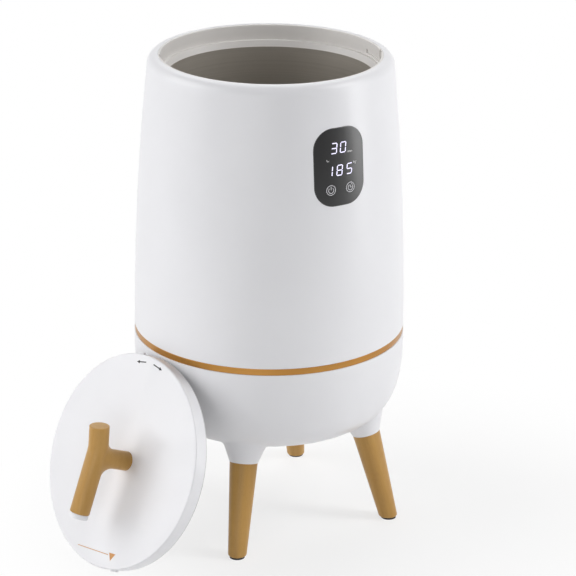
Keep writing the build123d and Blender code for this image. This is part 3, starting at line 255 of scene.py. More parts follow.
paper_end = next(node for node in paper_tree.nodes if node.type == "OUTPUT_MATERIAL")
paper_tree.links.new(laid.outputs[0], paper_end.inputs["Surface"])
floor.data.materials.append(paper)
floor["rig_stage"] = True
print("floor in m", [round(side, 2) for side in floor.dimensions])

# %% [markdown]
# ## Lamps
# White on white is hard to see, so the light does the drawing: large soft lamps from both sides
# leave the middle of the round body a little darker, and its edges stay bright. The window on
# the left is the main one, and its width keeps the handle's shadow on the lid soft. The camera
# looks down on the black panel, so the panel mirrors what is low in front of it: the strip on
# the right stands on the floor, and turns the panel's right side pale. Small lamps would be
# simpler, but they leave hard shadows and small bright spots.

# %% Lamps
BODY_MIDDLE = Vector((0, 0, 0.33))
LAMPS = (
    # name, heading from +X and rise in degrees, distance, width and height in metres, watts
    ("left_window", 158, 25, 3.4, 2.8, 2.8, 80),
    ("right_strip", -40, 20, 2.1, 0.5, 2.3, 22),
    ("right_high", -34, 45, 3.4, 1.6, 1.6, 28),
    ("front_card", -121, 40, 3.4, 2.0, 2.0, 10),
    ("low_card", -138, 4, 2.4, 1.6, 0.8, 10),
    ("back_bank", 60, 50, 3.4, 2.6, 2.2, 30),
)


def soft_lamp(name, heading, rise, distance, width, height, power):
    """A rectangular soft lamp that faces the middle of the body."""
    lamp = bpy.data.objects.new(name, bpy.data.lights.new(name, "AREA"))
    lamp.data.shape = "RECTANGLE"
    lamp.data.size = width
    lamp.data.size_y = height
    lamp.data.energy = power
    level = cos(radians(rise))
    way = Vector((level * cos(radians(heading)), level * sin(radians(heading)), sin(radians(rise))))
    lamp.location = BODY_MIDDLE + way * distance
    lamp.rotation_euler = way.to_track_quat("Z", "Y").to_euler()
    bpy.context.scene.collection.objects.link(lamp)


for lamp_row in LAMPS:
    soft_lamp(*lamp_row)
print("lamps", [row[0] for row in LAMPS], "watts in all", sum(row[-1] for row in LAMPS))

# %% [markdown]
# ## Smooth skins for the solids
# A solid from CAD arrives as loose flat triangles, and flat triangles show as facets in a glossy
# surface. Its mesh must stay as it is, so each visible solid is copied, the copy's doubled
# corners are merged, and its faces are shaded smooth up to the angle of a real edge. The copy
# then stands for the solid.

# %% Skin tool
SAME_CORNER = 0.002 * MM     # corners that are nearer than this are one
EDGE_DEGREES = 28            # a bend sharper than this is a real edge
slots = {part["node"]: part["material_slot"] for part in frame["record"]["subparts"]}


def skin(name, material):
    """A smooth-shaded copy of a CAD node with its finish, riding on the same body."""
    source = frame["nodes"][name]
    mesh = source.data.copy()
    shape = bmesh.new()
    shape.from_mesh(mesh)
    bmesh.ops.remove_doubles(shape, verts=shape.verts, dist=SAME_CORNER)
    for edge in shape.edges:
        edge.smooth = len(edge.link_faces) == 2 and edge.calc_face_angle(pi) < radians(EDGE_DEGREES)
    for face in shape.faces:
        face.smooth = True
        face.material_index = 0
    shape.to_mesh(mesh)
    shape.free()
    for layer in ("custom_normal", "sharp_face"):
        if layer in mesh.attributes:
            mesh.attributes.remove(mesh.attributes[layer])
    mesh.materials.clear()
    mesh.materials.append(material)
    made = bpy.data.objects.new(name + "_skin", mesh)
    bpy.context.scene.collection.objects.link(made)
    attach(made, source["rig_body"])
    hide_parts(name)
    return made


print("material slots", len(set(slots.values())))

# %% [markdown]
# ## Moulded plastics
# The body, the bowl and the lid are white ABS from polished moulds. Such a surface is never
# quite flat: the cooling skin is left with a faint waviness, as on an orange, and its gloss
# varies a little. A noise as wide as that waviness drives a very low bump, and a wider one moves
# the tint and the roughness. The waves are cut from Object coordinates and not from a UV map, so
# they run on round the body without a seam.

# %% Moulded plastic
CLOUD_WIDTH = 60             # mm, the slow change of tint and gloss over a moulding
GLOSS_RANGE = (0.85, 1.15)   # times the roughness


def moulded(name, pale, dark, roughness, wave_mm, relief_mm, specular=0.5):
    """Injection-moulded plastic: pale and dark are its two tints, waves and relief its skin."""
    material, tree, shader = new_material(name, IOR=1.53, Specular_IOR_Level=specular)
    place = add_node(tree, "ShaderNodeTexCoord").outputs["Object"]
    cloud = add_node(
        tree, "ShaderNodeTexNoise", {"Vector": place, "Scale": 1 / (CLOUD_WIDTH * MM), "Detail": 2.0}
    )
    wave = add_node(
        tree, "ShaderNodeTexNoise", {"Vector": place, "Scale": 1 / (wave_mm * MM), "Detail": 3.0}
    )
    tint = add_node(tree, "ShaderNodeValToRGB", {"Fac": cloud.outputs["Fac"]})
    for stop, colour in zip(tint.color_ramp.elements, (dark, pale)):
        stop.color = linear(colour)
    low_gloss, high_gloss = [roughness * share for share in GLOSS_RANGE]
    gloss = add_node(
        tree, "ShaderNodeMapRange",
        {"Value": cloud.outputs["Fac"], "To Min": low_gloss, "To Max": high_gloss},
    )
    waviness = add_node(
        tree, "ShaderNodeBump", {"Height": wave.outputs["Fac"], "Distance": relief_mm * MM}
    )
    for socket, value in (("Base Color", tint), ("Roughness", gloss), ("Normal", waviness)):
        tree.links.new(value.outputs[0], shader.inputs[socket])
    return material


print("a roughness of 1/3 runs from", [round(share / 3, 2) for share in GLOSS_RANGE])

# %% [markdown]
# ## Which plastic goes where
# The pieces that show are matched one by one. The waves are 4 to 14 mm apart on smooth mouldings.
# On etched and spark-eroded ones they stand for the grain. The real grain is about 0.1 mm wide
# and wouldn't show, so it is drawn 0.6 to 2 mm wide. The parts inside have the duller skins and
# the usual colours of their kind, and are seen only in a repair.

# %% Plastic and rubber finishes
finish = {
    # Polished-mould ABS: clean white with a soft sheen, so lamps show as broad pale bands. Its
    # roughness stays above 0.27 all over, because the denoiser leaves blotches where a white
    # surface crosses that value.
    "body_white": moulded("white_gloss_ABS_body", "#EDEDF0", "#E9E9EC", 0.33, 9, 0.006),
    "bowl_white": moulded("white_gloss_ABS_bowl", "#EDEDF0", "#E9E9EC", 0.34, 9, 0.006),
    # The lid and the handle's end cap are a shade softer, from a satin mould.
    "lid_white": moulded("white_satin_ABS_lid", "#EEEEF1", "#E9E9EC", 0.36, 5, 0.014),
    "tip_white": moulded("white_satin_ABS_tip", "#EFEFF2", "#E8E8EC", 0.34, 4, 0.01),
    # Parts that face the floor have an etched, matt skin that hides scuffs.
    "cover_white": moulded("white_etched_ABS_cover", "#E3E3E4", "#DADADC", 0.6, 0.7, 0.03),
    # The collar is grey PP from a spark-eroded mould: matt, with a fine even grain.
    "collar_grey": moulded("warm_grey_spark_eroded_PP", "#EAE7E4", "#E2DFDC", 0.46, 0.6, 0.012),
    # Inside: etched carrier, reflector, switches and the cases on the board, dull and evenly dyed.
    "carrier_grey": moulded("grey_etched_ABS_carrier", "#8F9194", "#86888B", 0.6, 0.7, 0.02),
    "module_white": moulded("white_LED_reflector_PC", "#DADADA", "#CCCCCD", 0.5, 1.2, 0.02),
    "switch_black": moulded("black_PBT_switch", "#1D1D1F", "#151517", 0.5, 0.8, 0.02),
    "relay_case": moulded("blue_PBT_relay_case", "#2F5FA6", "#275391", 0.45, 1.0, 0.02),
    "terminal_green": moulded("green_PA66_terminal_block", "#3E8F5A", "#347C4D", 0.5, 1.0, 0.02),
    "thermostat_case": moulded("brown_phenolic_thermostat", "#4A3328", "#3B281F", 0.55, 0.8, 0.03),
    "fuse_ceramic": moulded("white_steatite_fuse", "#E4DFD4", "#D6D0C4", 0.4, 1.2, 0.02),
    "sensor_case": moulded("black_epoxy_sensor", "#222326", "#18191B", 0.4, 0.9, 0.03),
    "capacitor_can": moulded("blue_PVC_capacitor_sleeve", "#24406E", "#1C3359", 0.35, 1.5, 0.02),
    "transformer_tape": moulded(
        "yellow_polyester_transformer_tape", "#D9B23A", "#C49D2B", 0.4, 2.0, 0.03
    ),
    # The lens and its keys are black-dyed acrylic with a satin hard coat: lamps and the room show
    # in them as a soft pale glow, without an outline.
    "lens_dark": moulded(
        "black_hard_coated_acrylic_lens", "#0D0D10", "#0A0A0C", 0.33, 14, 0.002, specular=1.0
    ),
    "key_dark": moulded(
        "black_hard_coated_acrylic_key", "#0D0D10", "#0A0A0C", 0.33, 8, 0.002, specular=1.0
    ),
    # Rubber is matt, and its grain comes from the talc that it was released with.
    "foot_rubber": moulded("black_moulded_rubber_foot", "#303032", "#262628", 0.85, 0.8, 0.04),
    "grommet_rubber": moulded("white_moulded_rubber_grommet", "#D5D5D6", "#C9C9CA", 0.75, 0.8, 0.03),
    "seal_silicone": moulded("clear_grey_silicone_seal", "#D2D3D2", "#C6C7C6", 0.55, 2.0, 0.02),
}
print("moulded finishes", len(finish))

# %% [markdown]
# ## Metals
# A metal keeps the default IOR and gets its look from its colour, its roughness and the marks of
# the tool. The liner is spun on a lathe and then coated warm grey, so its marks are fine rings: a
# noise that is read by radius and height alone changes only across the rings. Screws are zinc
# plated steel, the inserts brass, and the ring round the body is ABS that was plated gold and
# brushed along its length. Real tool marks are about 0.1 mm wide and wouldn't show, so they are
# drawn 0.5 to 1.4 mm wide.

# %% Metal with turned or plain marks
PATCH_WIDTH = 70             # mm, the slow unevenness of a plating or a coat
PATCH_SHARE = 0.35           # of it in the tint, the rest being tool marks
METAL_TINT = (0.25, 0.75)    # of the noise, between which the tint goes from dark to pale
METAL_GLOSS = (0.7, 1.3)     # times the roughness


def metal(name, pale, dark, roughness, mark_mm, relief_mm, turned=True, metallic=1.0):
    """A metal whose marks run round the bucket's axis, or lie in plain specks."""
    material, tree, shader = new_material(name, Metallic=metallic)
    place = add_node(tree, "ShaderNodeTexCoord").outputs["Object"]
    read_at = place
    if turned:
        split = add_node(tree, "ShaderNodeSeparateXYZ", {"Vector": place}).outputs
        flat = add_node(tree, "ShaderNodeCombineXYZ", {"X": split["X"], "Y": split["Y"]})
        radius = add_node(tree, "ShaderNodeVectorMath", {0: flat.outputs[0]}, operation="LENGTH")
        rings = add_node(tree, "ShaderNodeCombineXYZ", {"X": radius.outputs["Value"], "Z": split["Z"]})
        read_at = rings.outputs[0]
    marks = add_node(
        tree, "ShaderNodeTexNoise",
        {"Vector": read_at, "Scale": 1 / (mark_mm * MM), "Detail": 4.0, "Roughness": 0.6},
    )
    patch = add_node(
        tree, "ShaderNodeTexNoise", {"Vector": place, "Scale": 1 / (PATCH_WIDTH * MM), "Detail": 2.0}
    )
    both = add_node(
        tree, "ShaderNodeMix",
        {0: PATCH_SHARE, NUMBER_A: marks.outputs["Fac"], NUMBER_B: patch.outputs["Fac"]},
    )
    tint = add_node(
        tree, "ShaderNodeMapRange",
        {"Value": both.outputs[0], "From Min": METAL_TINT[0], "From Max": METAL_TINT[1]},
    )
    colour = add_node(
        tree, "ShaderNodeMix",
        {0: tint.outputs[0], COLOUR_A: linear(dark), COLOUR_B: linear(pale)}, data_type="RGBA",
    )
    low_gloss, high_gloss = [roughness * share for share in METAL_GLOSS]
    gloss = add_node(
        tree, "ShaderNodeMapRange",
        {"Value": marks.outputs["Fac"], "To Min": low_gloss, "To Max": high_gloss},
    )
    scratch = add_node(
        tree, "ShaderNodeBump", {"Height": marks.outputs["Fac"], "Distance": relief_mm * MM}
    )
    tree.links.new(colour.outputs[MIXED], shader.inputs["Base Color"])
    tree.links.new(gloss.outputs[0], shader.inputs["Roughness"])
    tree.links.new(scratch.outputs[0], shader.inputs["Normal"])
    return material


print("patches in mm", PATCH_WIDTH)

# %% Metal finishes
metals = {
    # Spun aluminium under a warm grey coat: more paint than metal to the eye, with fine rings.
    "liner_coated": metal(
        "spun_aluminium_dark_coat", "#B9B3AA", "#A29C93", 0.42, 1.4, 0.01, metallic=0.4
    ),
    # Plated gold, brushed along the ring: its marks are lines at one height, and it shines softly.
    "accent_gold": metal(
        "gold_plated_brushed_ABS", "#C9964F", "#A87230", 0.32, 0.7, 0.006, metallic=0.75
    ),
    # Zinc plate on steel: pale grey and a little mottled, with a dull shine.
    "screw_steel": metal("zinc_plated_steel_screw", "#C2C3C2", "#A6A7A7", 0.35, 0.6, 0.004, turned=False),
    "stud_steel": metal("zinc_plated_steel_stud", "#BEBFC0", "#A0A1A2", 0.35, 0.6, 0.004, turned=False),
    # Turned brass: yellow and bright, with fine tool marks.
    "insert_brass": metal("turned_brass_insert", "#D8B35A", "#B48F3C", 0.3, 0.5, 0.004, turned=False),
    # Rolled and pressed aluminium: nearly white, and softer in its shine than steel.
    "plate_aluminium": metal("rolled_aluminium_plate", "#C9CACC", "#B0B1B3", 0.4, 0.8, 0.006, turned=False),
    "pan_aluminium": metal("pressed_aluminium_lid_pan", "#C4C4C4", "#AEAEAF", 0.38, 0.9, 0.006, turned=False),
    # Foil laid by hand: bright, with low wrinkles 2 to 3 mm apart.
    "heater_foil": metal("aluminium_foil_heater_band", "#D3D3D4", "#B5B5B7", 0.3, 2.5, 0.05, turned=False),
}
finish.update(metals)
print("metal finishes", len(metals))

# %% [markdown]
# ## Felt and circuit board
# The heat insulation is needled glass felt, a mat of tangled fibres that catches light at its
# edges, so it gets a deep fine bump and no gloss. The boards are green solder mask over
# copper: the tracks under it show as slightly paler lanes with square corners, which a brick
# pattern with no mortar contrast draws well enough for a part that is seen in a repair.

# %% Felt
FIBRE_WIDTH = 0.6            # mm; the real fibres are about 0.01 mm and wouldn't show
FELT_RELIEF = 0.4            # mm


def felt(name, pale, dark):
    """A needled mat: a noise that is pulled about makes its tangled fibres."""
    material, tree, shader = new_material(name, Roughness=0.95)
    place = add_node(tree, "ShaderNodeTexCoord").outputs["Object"]
    fibre = add_node(
        tree, "ShaderNodeTexNoise",
        {"Vector": place, "Scale": 1 / (FIBRE_WIDTH * MM), "Detail": 6.0, "Distortion": 1.5},
    )
    tint = add_node(
        tree, "ShaderNodeMix",
        {0: fibre.outputs["Fac"], COLOUR_A: linear(dark), COLOUR_B: linear(pale)}, data_type="RGBA",
    )
    tangle = add_node(
        tree, "ShaderNodeBump", {"Height": fibre.outputs["Fac"], "Distance": FELT_RELIEF * MM}
    )
    tree.links.new(tint.outputs[MIXED], shader.inputs["Base Color"])
    tree.links.new(tangle.outputs[0], shader.inputs["Normal"])
    return material


# Glass felt: off-white and matt, with single fibres that catch the light.
finish["felt_fibre"] = felt("needled_glass_felt", "#DCD8CE", "#B8B3A8")
print("fibre in mm", FIBRE_WIDTH)

# %% Circuit board
LANE_WIDTH = 1.6             # mm
LANE_LENGTH = 6 * LANE_WIDTH
LANE_GAP = 0.3               # mm between two lanes
MASK_RELIEF = 0.03           # mm, the step where the mask runs over copper


def solder_mask(name, mask, track):
    """A lacquered circuit board with lanes of copper showing through."""
    material, tree, shader = new_material(name, Roughness=0.3)
    place = add_node(tree, "ShaderNodeTexCoord").outputs["Object"]
    lanes = add_node(
        tree, "ShaderNodeTexBrick",
        {"Vector": place, "Color1": linear(mask), "Color2": linear(track), "Mortar": linear(mask),
         "Scale": 1.0, "Mortar Size": LANE_GAP * MM, "Brick Width": LANE_LENGTH * MM,
         "Row Height": LANE_WIDTH * MM},
    )
    edge = add_node(
        tree, "ShaderNodeBump", {"Height": lanes.outputs["Fac"], "Distance": MASK_RELIEF * MM}
    )
    tree.links.new(lanes.outputs["Color"], shader.inputs["Base Color"])
    tree.links.new(edge.outputs[0], shader.inputs["Normal"])
    return material


# Solder mask over copper: a deep green gloss with paler lanes.
finish["board_green"] = solder_mask("green_solder_mask_board", "#1F6B3A", "#2B7F47")
print("finishes so far", len(finish))

# %% [markdown]
# ## Beech legs and handle
# The legs and the handle are beech, stained to a warm tan and sealed with a satin lacquer. Beech
# has no bold figure: it shows short, thin, darker flecks along the grain over soft, slow bands
# of tone. Both must follow each piece's own length, and each leg leans another way, so a
# piece carries its own grain coordinates as an attribute, in millimetres: across, across, along.
# One material then serves all five pieces, and each starts at another spot of the tree.

# %% Beech
FLECK_WIDTH = 0.5            # mm; the real flecks are 0.1 to 0.3 mm and wouldn't show
FLECK_LENGTH = 7.0           # mm along the grain
FLECK_FROM = (0.55, 0.75)    # of the noise, where a fleck starts and where it is full
FLECK_SHARE = 0.3            # of the fleck's own colour, where it is full
BAND_WIDTH = 9.0             # mm, the slow bands
BAND_FROM = (0.3, 0.7)       # of the noise, between which the tone goes from dark to pale
BAND_PACE = 0.06             # how fast the bands change along the grain, beside across it
LACQUER = (0.3, 0.42)        # its roughness, from open wood to flecks
PORE_DEPTH = 0.01            # mm


def beech(name, pale, dark, fleck):
    """Stained and lacquered beech, read from a piece's own grain coordinates."""
    material, tree, shader = new_material(name, IOR=1.5, Specular_IOR_Level=0.4)
    grain = add_node(tree, "ShaderNodeAttribute", attribute_name="grain").outputs["Vector"]
    slow = add_node(
        tree, "ShaderNodeMapping",
        {"Vector": grain, "Scale": (1 / BAND_WIDTH, 1 / BAND_WIDTH, BAND_PACE / BAND_WIDTH)},
    )
    fine = add_node(
        tree, "ShaderNodeMapping",
        {"Vector": grain, "Scale": (1 / FLECK_WIDTH, 1 / FLECK_WIDTH, 1 / FLECK_LENGTH)},
    )
    bands = add_node(
        tree, "ShaderNodeTexNoise",
        {"Vector": slow.outputs[0], "Scale": 1.0, "Detail": 3.0, "Distortion": 0.4},
    ).outputs["Fac"]
    flecks = add_node(
        tree, "ShaderNodeTexNoise", {"Vector": fine.outputs[0], "Scale": 1.0, "Detail": 2.0}
    ).outputs["Fac"]
    spots = add_node(
        tree, "ShaderNodeMapRange",
        {"Value": flecks, "From Min": FLECK_FROM[0], "From Max": FLECK_FROM[1], "To Max": FLECK_SHARE},
    )
    ground = add_node(
        tree, "ShaderNodeMapRange", {"Value": bands, "From Min": BAND_FROM[0], "From Max": BAND_FROM[1]}
    )
    wood = add_node(
        tree, "ShaderNodeMix",
        {0: ground.outputs[0], COLOUR_A: linear(dark), COLOUR_B: linear(pale)}, data_type="RGBA",
    )
    flecked = add_node(
        tree, "ShaderNodeMix",
        {0: spots.outputs[0], COLOUR_A: wood.outputs[MIXED], COLOUR_B: linear(fleck)}, data_type="RGBA",
    )
    gloss = add_node(
        tree, "ShaderNodeMapRange", {"Value": flecks, "To Min": LACQUER[0], "To Max": LACQUER[1]}
    )
    pores = add_node(
        tree, "ShaderNodeBump", {"Height": flecks, "Distance": PORE_DEPTH * MM, "Strength": 0.6}
    )
    tree.links.new(flecked.outputs[MIXED], shader.inputs["Base Color"])
    tree.links.new(gloss.outputs[0], shader.inputs["Roughness"])
    tree.links.new(pores.outputs[0], shader.inputs["Normal"])
    return material


# Beech under a tan stain and satin lacquer: warm and even, with short dark flecks and a soft sheen.
stained_beech = beech("stained_beech_satin_lacquer", "#BF9450", "#B38845", "#9C7236")
finish["leg_wood"] = finish["handle_wood"] = stained_beech
print("fleck in mm", FLECK_WIDTH, "by", FLECK_LENGTH)

# %% [markdown]
# ## Dressing the solids
# Everything that can be seen gets a smooth skin with its finish. What stays inside keeps its CAD
# mesh, because facets don't matter there, and takes its finish in its material slots. Then each
# wooden skin gets its grain coordinates, from the way that it runs.

# %% Skins and slots
SEEN = (
    "outer_shell", "accent_ring", "base_bowl", "bottom_cover", "rim_collar", "liner", "panel_lens",
    "power_key", "timer_key", "lid_cover", "lid_pan", "lid_seal", "handle", "handle_tip",
    "leg_front_left", "leg_front_right", "leg_back_right", "leg_back_left", "foot_pads",
    "cord_grommet", "cover_screws", "lid_screws", "liner_screws",
)
skins = {name: skin(name, finish[slots[name]]) for name in SEEN}
for name, solid in frame["nodes"].items():
    if name not in skins:
        for place in solid.material_slots:
            place.material = finish[slots[name]]
print("skins", len(skins), "kept as CAD", len(frame["nodes"]) - len(skins))

# %% Grain of the five wooden pieces
WOODEN = ("leg_front_left", "leg_front_right", "leg_back_right", "leg_back_left", "handle")
TREE_STEP = 400              # mm along the tree from one piece's wood to the next one's


def carry_grain(piece, along, start_mm):
    """Give a wooden piece its grain coordinates, in millimetres, with the third one along it."""
    along = Vector(along).normalized()
    across = along.orthogonal().normalized()
    other = along.cross(across)
    grain = piece.data.attributes.new("grain", "FLOAT_VECTOR", "POINT")
    for vertex, place in zip(piece.data.vertices, grain.data):
        local = [vertex.co.dot(way) / MM for way in (across, other, along)]
        place.vector = Vector(local) + Vector((0, 0, start_mm))


def long_way(mesh):
    """From the middle of a piece's lowest tenth to the middle of its highest tenth."""
    heights = sorted(v.co.z for v in mesh.vertices)
    low, high = heights[len(heights) // 10], heights[-len(heights) // 10]
    top = [v.co for v in mesh.vertices if v.co.z >= high]
    bottom = [v.co for v in mesh.vertices if v.co.z <= low]
    return sum(top, Vector()) / len(top) - sum(bottom, Vector()) / len(bottom)


for order, name in enumerate(WOODEN):
    way = long_way(skins[name].data)
    carry_grain(skins[name], way, TREE_STEP * order)
    print(name, "grain runs", [round(c, 2) for c in way.normalized()])

# %% [markdown]
# ## Thin film for lit and printed marks
# The digits are lit from behind, the marks on the keys are printed and given a painted glow, and the marks on
# the lid are printed.
# An image texture could show them, but it blurs close up. All of them look like a very thin film,
# so they are built as one: drawn flat in millimetres first, given a thickness by Geometry Nodes,
# and then laid on the solid that carries them. The segments of a digit are one rounded bar that
# repeats, and the lines are a flat strip swept along a path, which is just what instances and a
# curve sweep are for.

# %% Tools for film trees
FILM = 0.12                  # mm, thickness of a film
REACH = 300                  # mm, how far out from the drawing's centre its rays start
BURIED = 0.05                # mm more on each side, so that its back sinks in and no gap shows
WHOLE_FILM = FILM + 2 * BURIED


def new_tree(name, sockets):
    """A geometry tree with its named inputs, and what those inputs give."""
    tree = bpy.data.node_groups.new(name, "GeometryNodeTree")
    for socket, kind in sockets:
        tree.interface.new_socket(socket, in_out="INPUT", socket_type="NodeSocket" + kind)
    tree.interface.new_socket("Film", in_out="OUTPUT", socket_type="NodeSocketGeometry")
    return tree, add_node(tree, "NodeGroupInput").outputs


def end_tree(tree, geometry, finish_socket):
    """Close a tree: real geometry, its material, and the output."""
    solid = add_node(tree, "GeometryNodeRealizeInstances", {"Geometry": geometry})
    painted = add_node(
        tree, "GeometryNodeSetMaterial", {"Geometry": solid.outputs[0], "Material": finish_socket}
    )
    add_node(tree, "NodeGroupOutput", {"Film": painted.outputs[0]})


print("the film stands out by mm", round(FILM + BURIED, 2))

# %% Tree for swept lines
line_tree, given = new_tree(
    "swept_line",
    (("Path", "Geometry"), ("Width", "Float"), ("Thickness", "Float"), ("Finish", "Material")),
)
path = add_node(line_tree, "GeometryNodeMeshToCurve", {"Mesh": given["Path"]})
level = add_node(line_tree, "GeometryNodeSetCurveNormal", {"Curve": path.outputs[0]}, mode="Z_UP")
strip = add_node(
    line_tree, "GeometryNodeCurvePrimitiveQuadrilateral",
    {"Width": given["Width"], "Height": given["Thickness"]},
)
swept = add_node(
    line_tree, "GeometryNodeCurveToMesh",
    {"Curve": level.outputs[0], "Profile Curve": strip.outputs[0], "Fill Caps": True},
)
end_tree(line_tree, swept.outputs[0], given["Finish"])
print("tree", line_tree.name, "nodes", len(line_tree.nodes))

# %% Tree for the bars of the digits
BAR_CORNER = 0.42            # of the bar's width, its rounding
CORNER_STEPS = 4
BAR_JOIN = 0.001             # mm, corners of its two halves that are nearer than this are one

bar_tree, given = new_tree(
    "segment_bars",
    (("Places", "Geometry"), ("Length", "Float"), ("Width", "Float"), ("Thickness", "Float"),
     ("Finish", "Material")),
)
outline = add_node(
    bar_tree, "GeometryNodeCurvePrimitiveQuadrilateral",
    {"Width": given["Length"], "Height": given["Width"]},
)
corner = add_node(bar_tree, "ShaderNodeMath", {0: given["Width"], 1: BAR_CORNER}, operation="MULTIPLY")
rounded = add_node(
    bar_tree, "GeometryNodeFilletCurve",
    {"Curve": outline.outputs[0], "Count": CORNER_STEPS, "Radius": corner.outputs[0]}, mode="POLY",
)
back = add_node(bar_tree, "GeometryNodeFillCurve", {"Curve": rounded.outputs[0]})
lower = add_node(bar_tree, "ShaderNodeMath", {0: given["Thickness"], 1: -0.5}, operation="MULTIPLY")
lower_way = add_node(bar_tree, "ShaderNodeCombineXYZ", {"Z": lower.outputs[0]})
sunk = add_node(
    bar_tree, "GeometryNodeSetPosition", {"Geometry": back.outputs[0], "Offset": lower_way.outputs[0]}
)
raised = add_node(
    bar_tree, "GeometryNodeExtrudeMesh",
    {"Mesh": sunk.outputs[0], "Offset Scale": given["Thickness"], "Individual": False},
)
under = add_node(bar_tree, "GeometryNodeFlipFaces", {"Mesh": sunk.outputs[0]})
closed = add_node(bar_tree, "GeometryNodeJoinGeometry")
for half in (raised, under):
    bar_tree.links.new(half.outputs[0], closed.inputs[0])
merged = add_node(
    bar_tree, "GeometryNodeMergeByDistance", {"Geometry": closed.outputs[0], "Distance": BAR_JOIN}
)
turn = add_node(bar_tree, "GeometryNodeInputNamedAttribute", {"Name": "turn"}, data_type="FLOAT")
turned = add_node(bar_tree, "ShaderNodeCombineXYZ", {"Z": turn.outputs[0]})
placed = add_node(
    bar_tree, "GeometryNodeInstanceOnPoints",
    {"Points": given["Places"], "Instance": merged.outputs[0], "Rotation": turned.outputs[0]},
)
end_tree(bar_tree, placed.outputs[0], given["Finish"])
print("tree", bar_tree.name, "nodes", len(bar_tree.nodes))

# %% What a tree makes of a drawing
def grown(flat, tree, **values):
    """What a tree makes of a drawing, as a plain mesh."""
    drawing = bpy.data.objects.new("drawing", flat)
    modifier = drawing.modifiers.new("film", "NODES")
    modifier.node_group = tree
    for socket in tree.interface.items_tree:
        if socket.in_out == "INPUT" and socket.name in values:
            modifier[socket.identifier] = values[socket.name]
    bpy.context.scene.collection.objects.link(drawing)
    evaluated = drawing.evaluated_get(bpy.context.evaluated_depsgraph_get())
    made = bpy.data.meshes.new_from_object(evaluated)
    bpy.data.objects.remove(drawing)
    return made


print("a drawing is in mm, and its film is", WHOLE_FILM, "thick")

# %% Laying film on a solid
def near_tree(name):
    """A search tree of a CAD node's surface."""
    mesh = frame["nodes"][name].data
    return BVHTree.FromPolygons([v.co for v in mesh.vertices], [f.vertices for f in mesh.polygons])


def lay_film(name, meshes, carrier, centre, across, up, body):
    """Lay flat drawings, in mm about a centre, on a carrier, and join them as one piece."""
    across, up = Vector(across), Vector(up)
    out = across.cross(up)
    surface = near_tree(carrier)
    film = bmesh.new()
    for mesh in meshes:
        film.from_mesh(mesh)
    bmesh.ops.triangulate(film, faces=film.faces)
    for vertex in film.verts:
        flat = Vector(centre) + (across * vertex.co.x + up * vertex.co.y) * MM
        hit = surface.ray_cast(flat + out * REACH * MM, -out)[0]
        vertex.co = hit + out * (vertex.co.z + FILM / 2) * MM
    made_mesh = bpy.data.meshes.new(name)
    film.to_mesh(made_mesh)
    film.free()
    for material in meshes[0].materials:
        made_mesh.materials.append(material)
    made = bpy.data.objects.new(name, made_mesh)
    bpy.context.scene.collection.objects.link(made)
    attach(made, body)
    print(name, "faces", len(made_mesh.polygons))


print("rays start", REACH, "mm out")

# %% Lines and arcs of a drawing
def drawn(lines, width, material):
    """Lines of a drawing: lists of (x, y) in mm, closed where the last point is the first."""
    points, edges = [], []
    for line in lines:
        closed_line = line[0] == line[-1]
        corners = line[:-1] if closed_line else line
        first = len(points)
        points += [(x, y, 0) for x, y in corners]
        edges += [(first + i, first + i + 1) for i in range(len(corners) - 1)]
        if closed_line:
            edges.append((first + len(corners) - 1, first))
    flat = bpy.data.meshes.new("lines")
    flat.from_pydata(points, edges, [])
    return grown(flat, line_tree, Width=width, Thickness=WHOLE_FILM, Finish=material)


def arc(centre, radius, start, end, steps=40):
    """Points round a centre, in degrees from the right, counter-clockwise."""
    turns = [radians(start + (end - start) * i / steps) for i in range(steps + 1)]
    points = [(centre[0] + radius * cos(t), centre[1] + radius * sin(t)) for t in turns]
    if end - start == 360:
        points[-1] = points[0]
    return points


print("a full ring has", len(arc((0, 0), 1, 0, 360)), "points")

# %% [markdown]
# ## What the display shows
# The display is a row of lit digits over another: the time left in minutes, and the heat in
# degrees. Each digit is made of seven bars, of which some are lit, and the whole figure leans
# a little. A font would be quicker, but its strokes don't end like the bars of a display. The
# light is a cool white, so the film gives off light of its own, at about the level of white
# paper.

# %% Lit film and printed inks
DIFFUSER_DIM = 0.8           # the least of a lit mark's light, beside its most
DIFFUSER_CLOUD = 3           # mm
INK_MOTTLE = 1.25            # the palest of an ink, beside its full colour
INK_GRAIN = 0.25             # mm


def lit(name, colour, strength):
    """A glowing mark, a touch uneven: light through a diffuser on the display, a painted glow on the keys'
    printed marks.
    """
    material, tree, shader = new_material(name, Roughness=0.4, Emission_Strength=strength)
    place = add_node(tree, "ShaderNodeTexCoord").outputs["Object"]
    uneven = add_node(
        tree, "ShaderNodeTexNoise", {"Vector": place, "Scale": 1 / (DIFFUSER_CLOUD * MM), "Detail": 1.0}
    )
    full = linear(colour)
    dimmer = tuple(DIFFUSER_DIM * c for c in full[:3]) + (1,)
    shade = add_node(
        tree, "ShaderNodeMix",
        {0: uneven.outputs["Fac"], COLOUR_A: dimmer, COLOUR_B: full}, data_type="RGBA",
    )
    for socket in ("Base Color", "Emission Color"):
        tree.links.new(shade.outputs[MIXED], shader.inputs[socket])
    return material


def ink(name, colour, roughness):
    """Pad-printed ink: thin and dense, with a slightly mottled tone."""
    material, tree, shader = new_material(name, Roughness=roughness)
    place = add_node(tree, "ShaderNodeTexCoord").outputs["Object"]
    mottle = add_node(
        tree, "ShaderNodeTexNoise", {"Vector": place, "Scale": 1 / (INK_GRAIN * MM), "Detail": 2.0}
    )
    full = linear(colour)
    paler = tuple(min(1, INK_MOTTLE * c) for c in full[:3]) + (1,)
    shade = add_node(
        tree, "ShaderNodeMix",
        {0: mottle.outputs["Fac"], COLOUR_A: full, COLOUR_B: paler}, data_type="RGBA",
    )
    tree.links.new(shade.outputs[MIXED], shader.inputs["Base Color"])
    return material


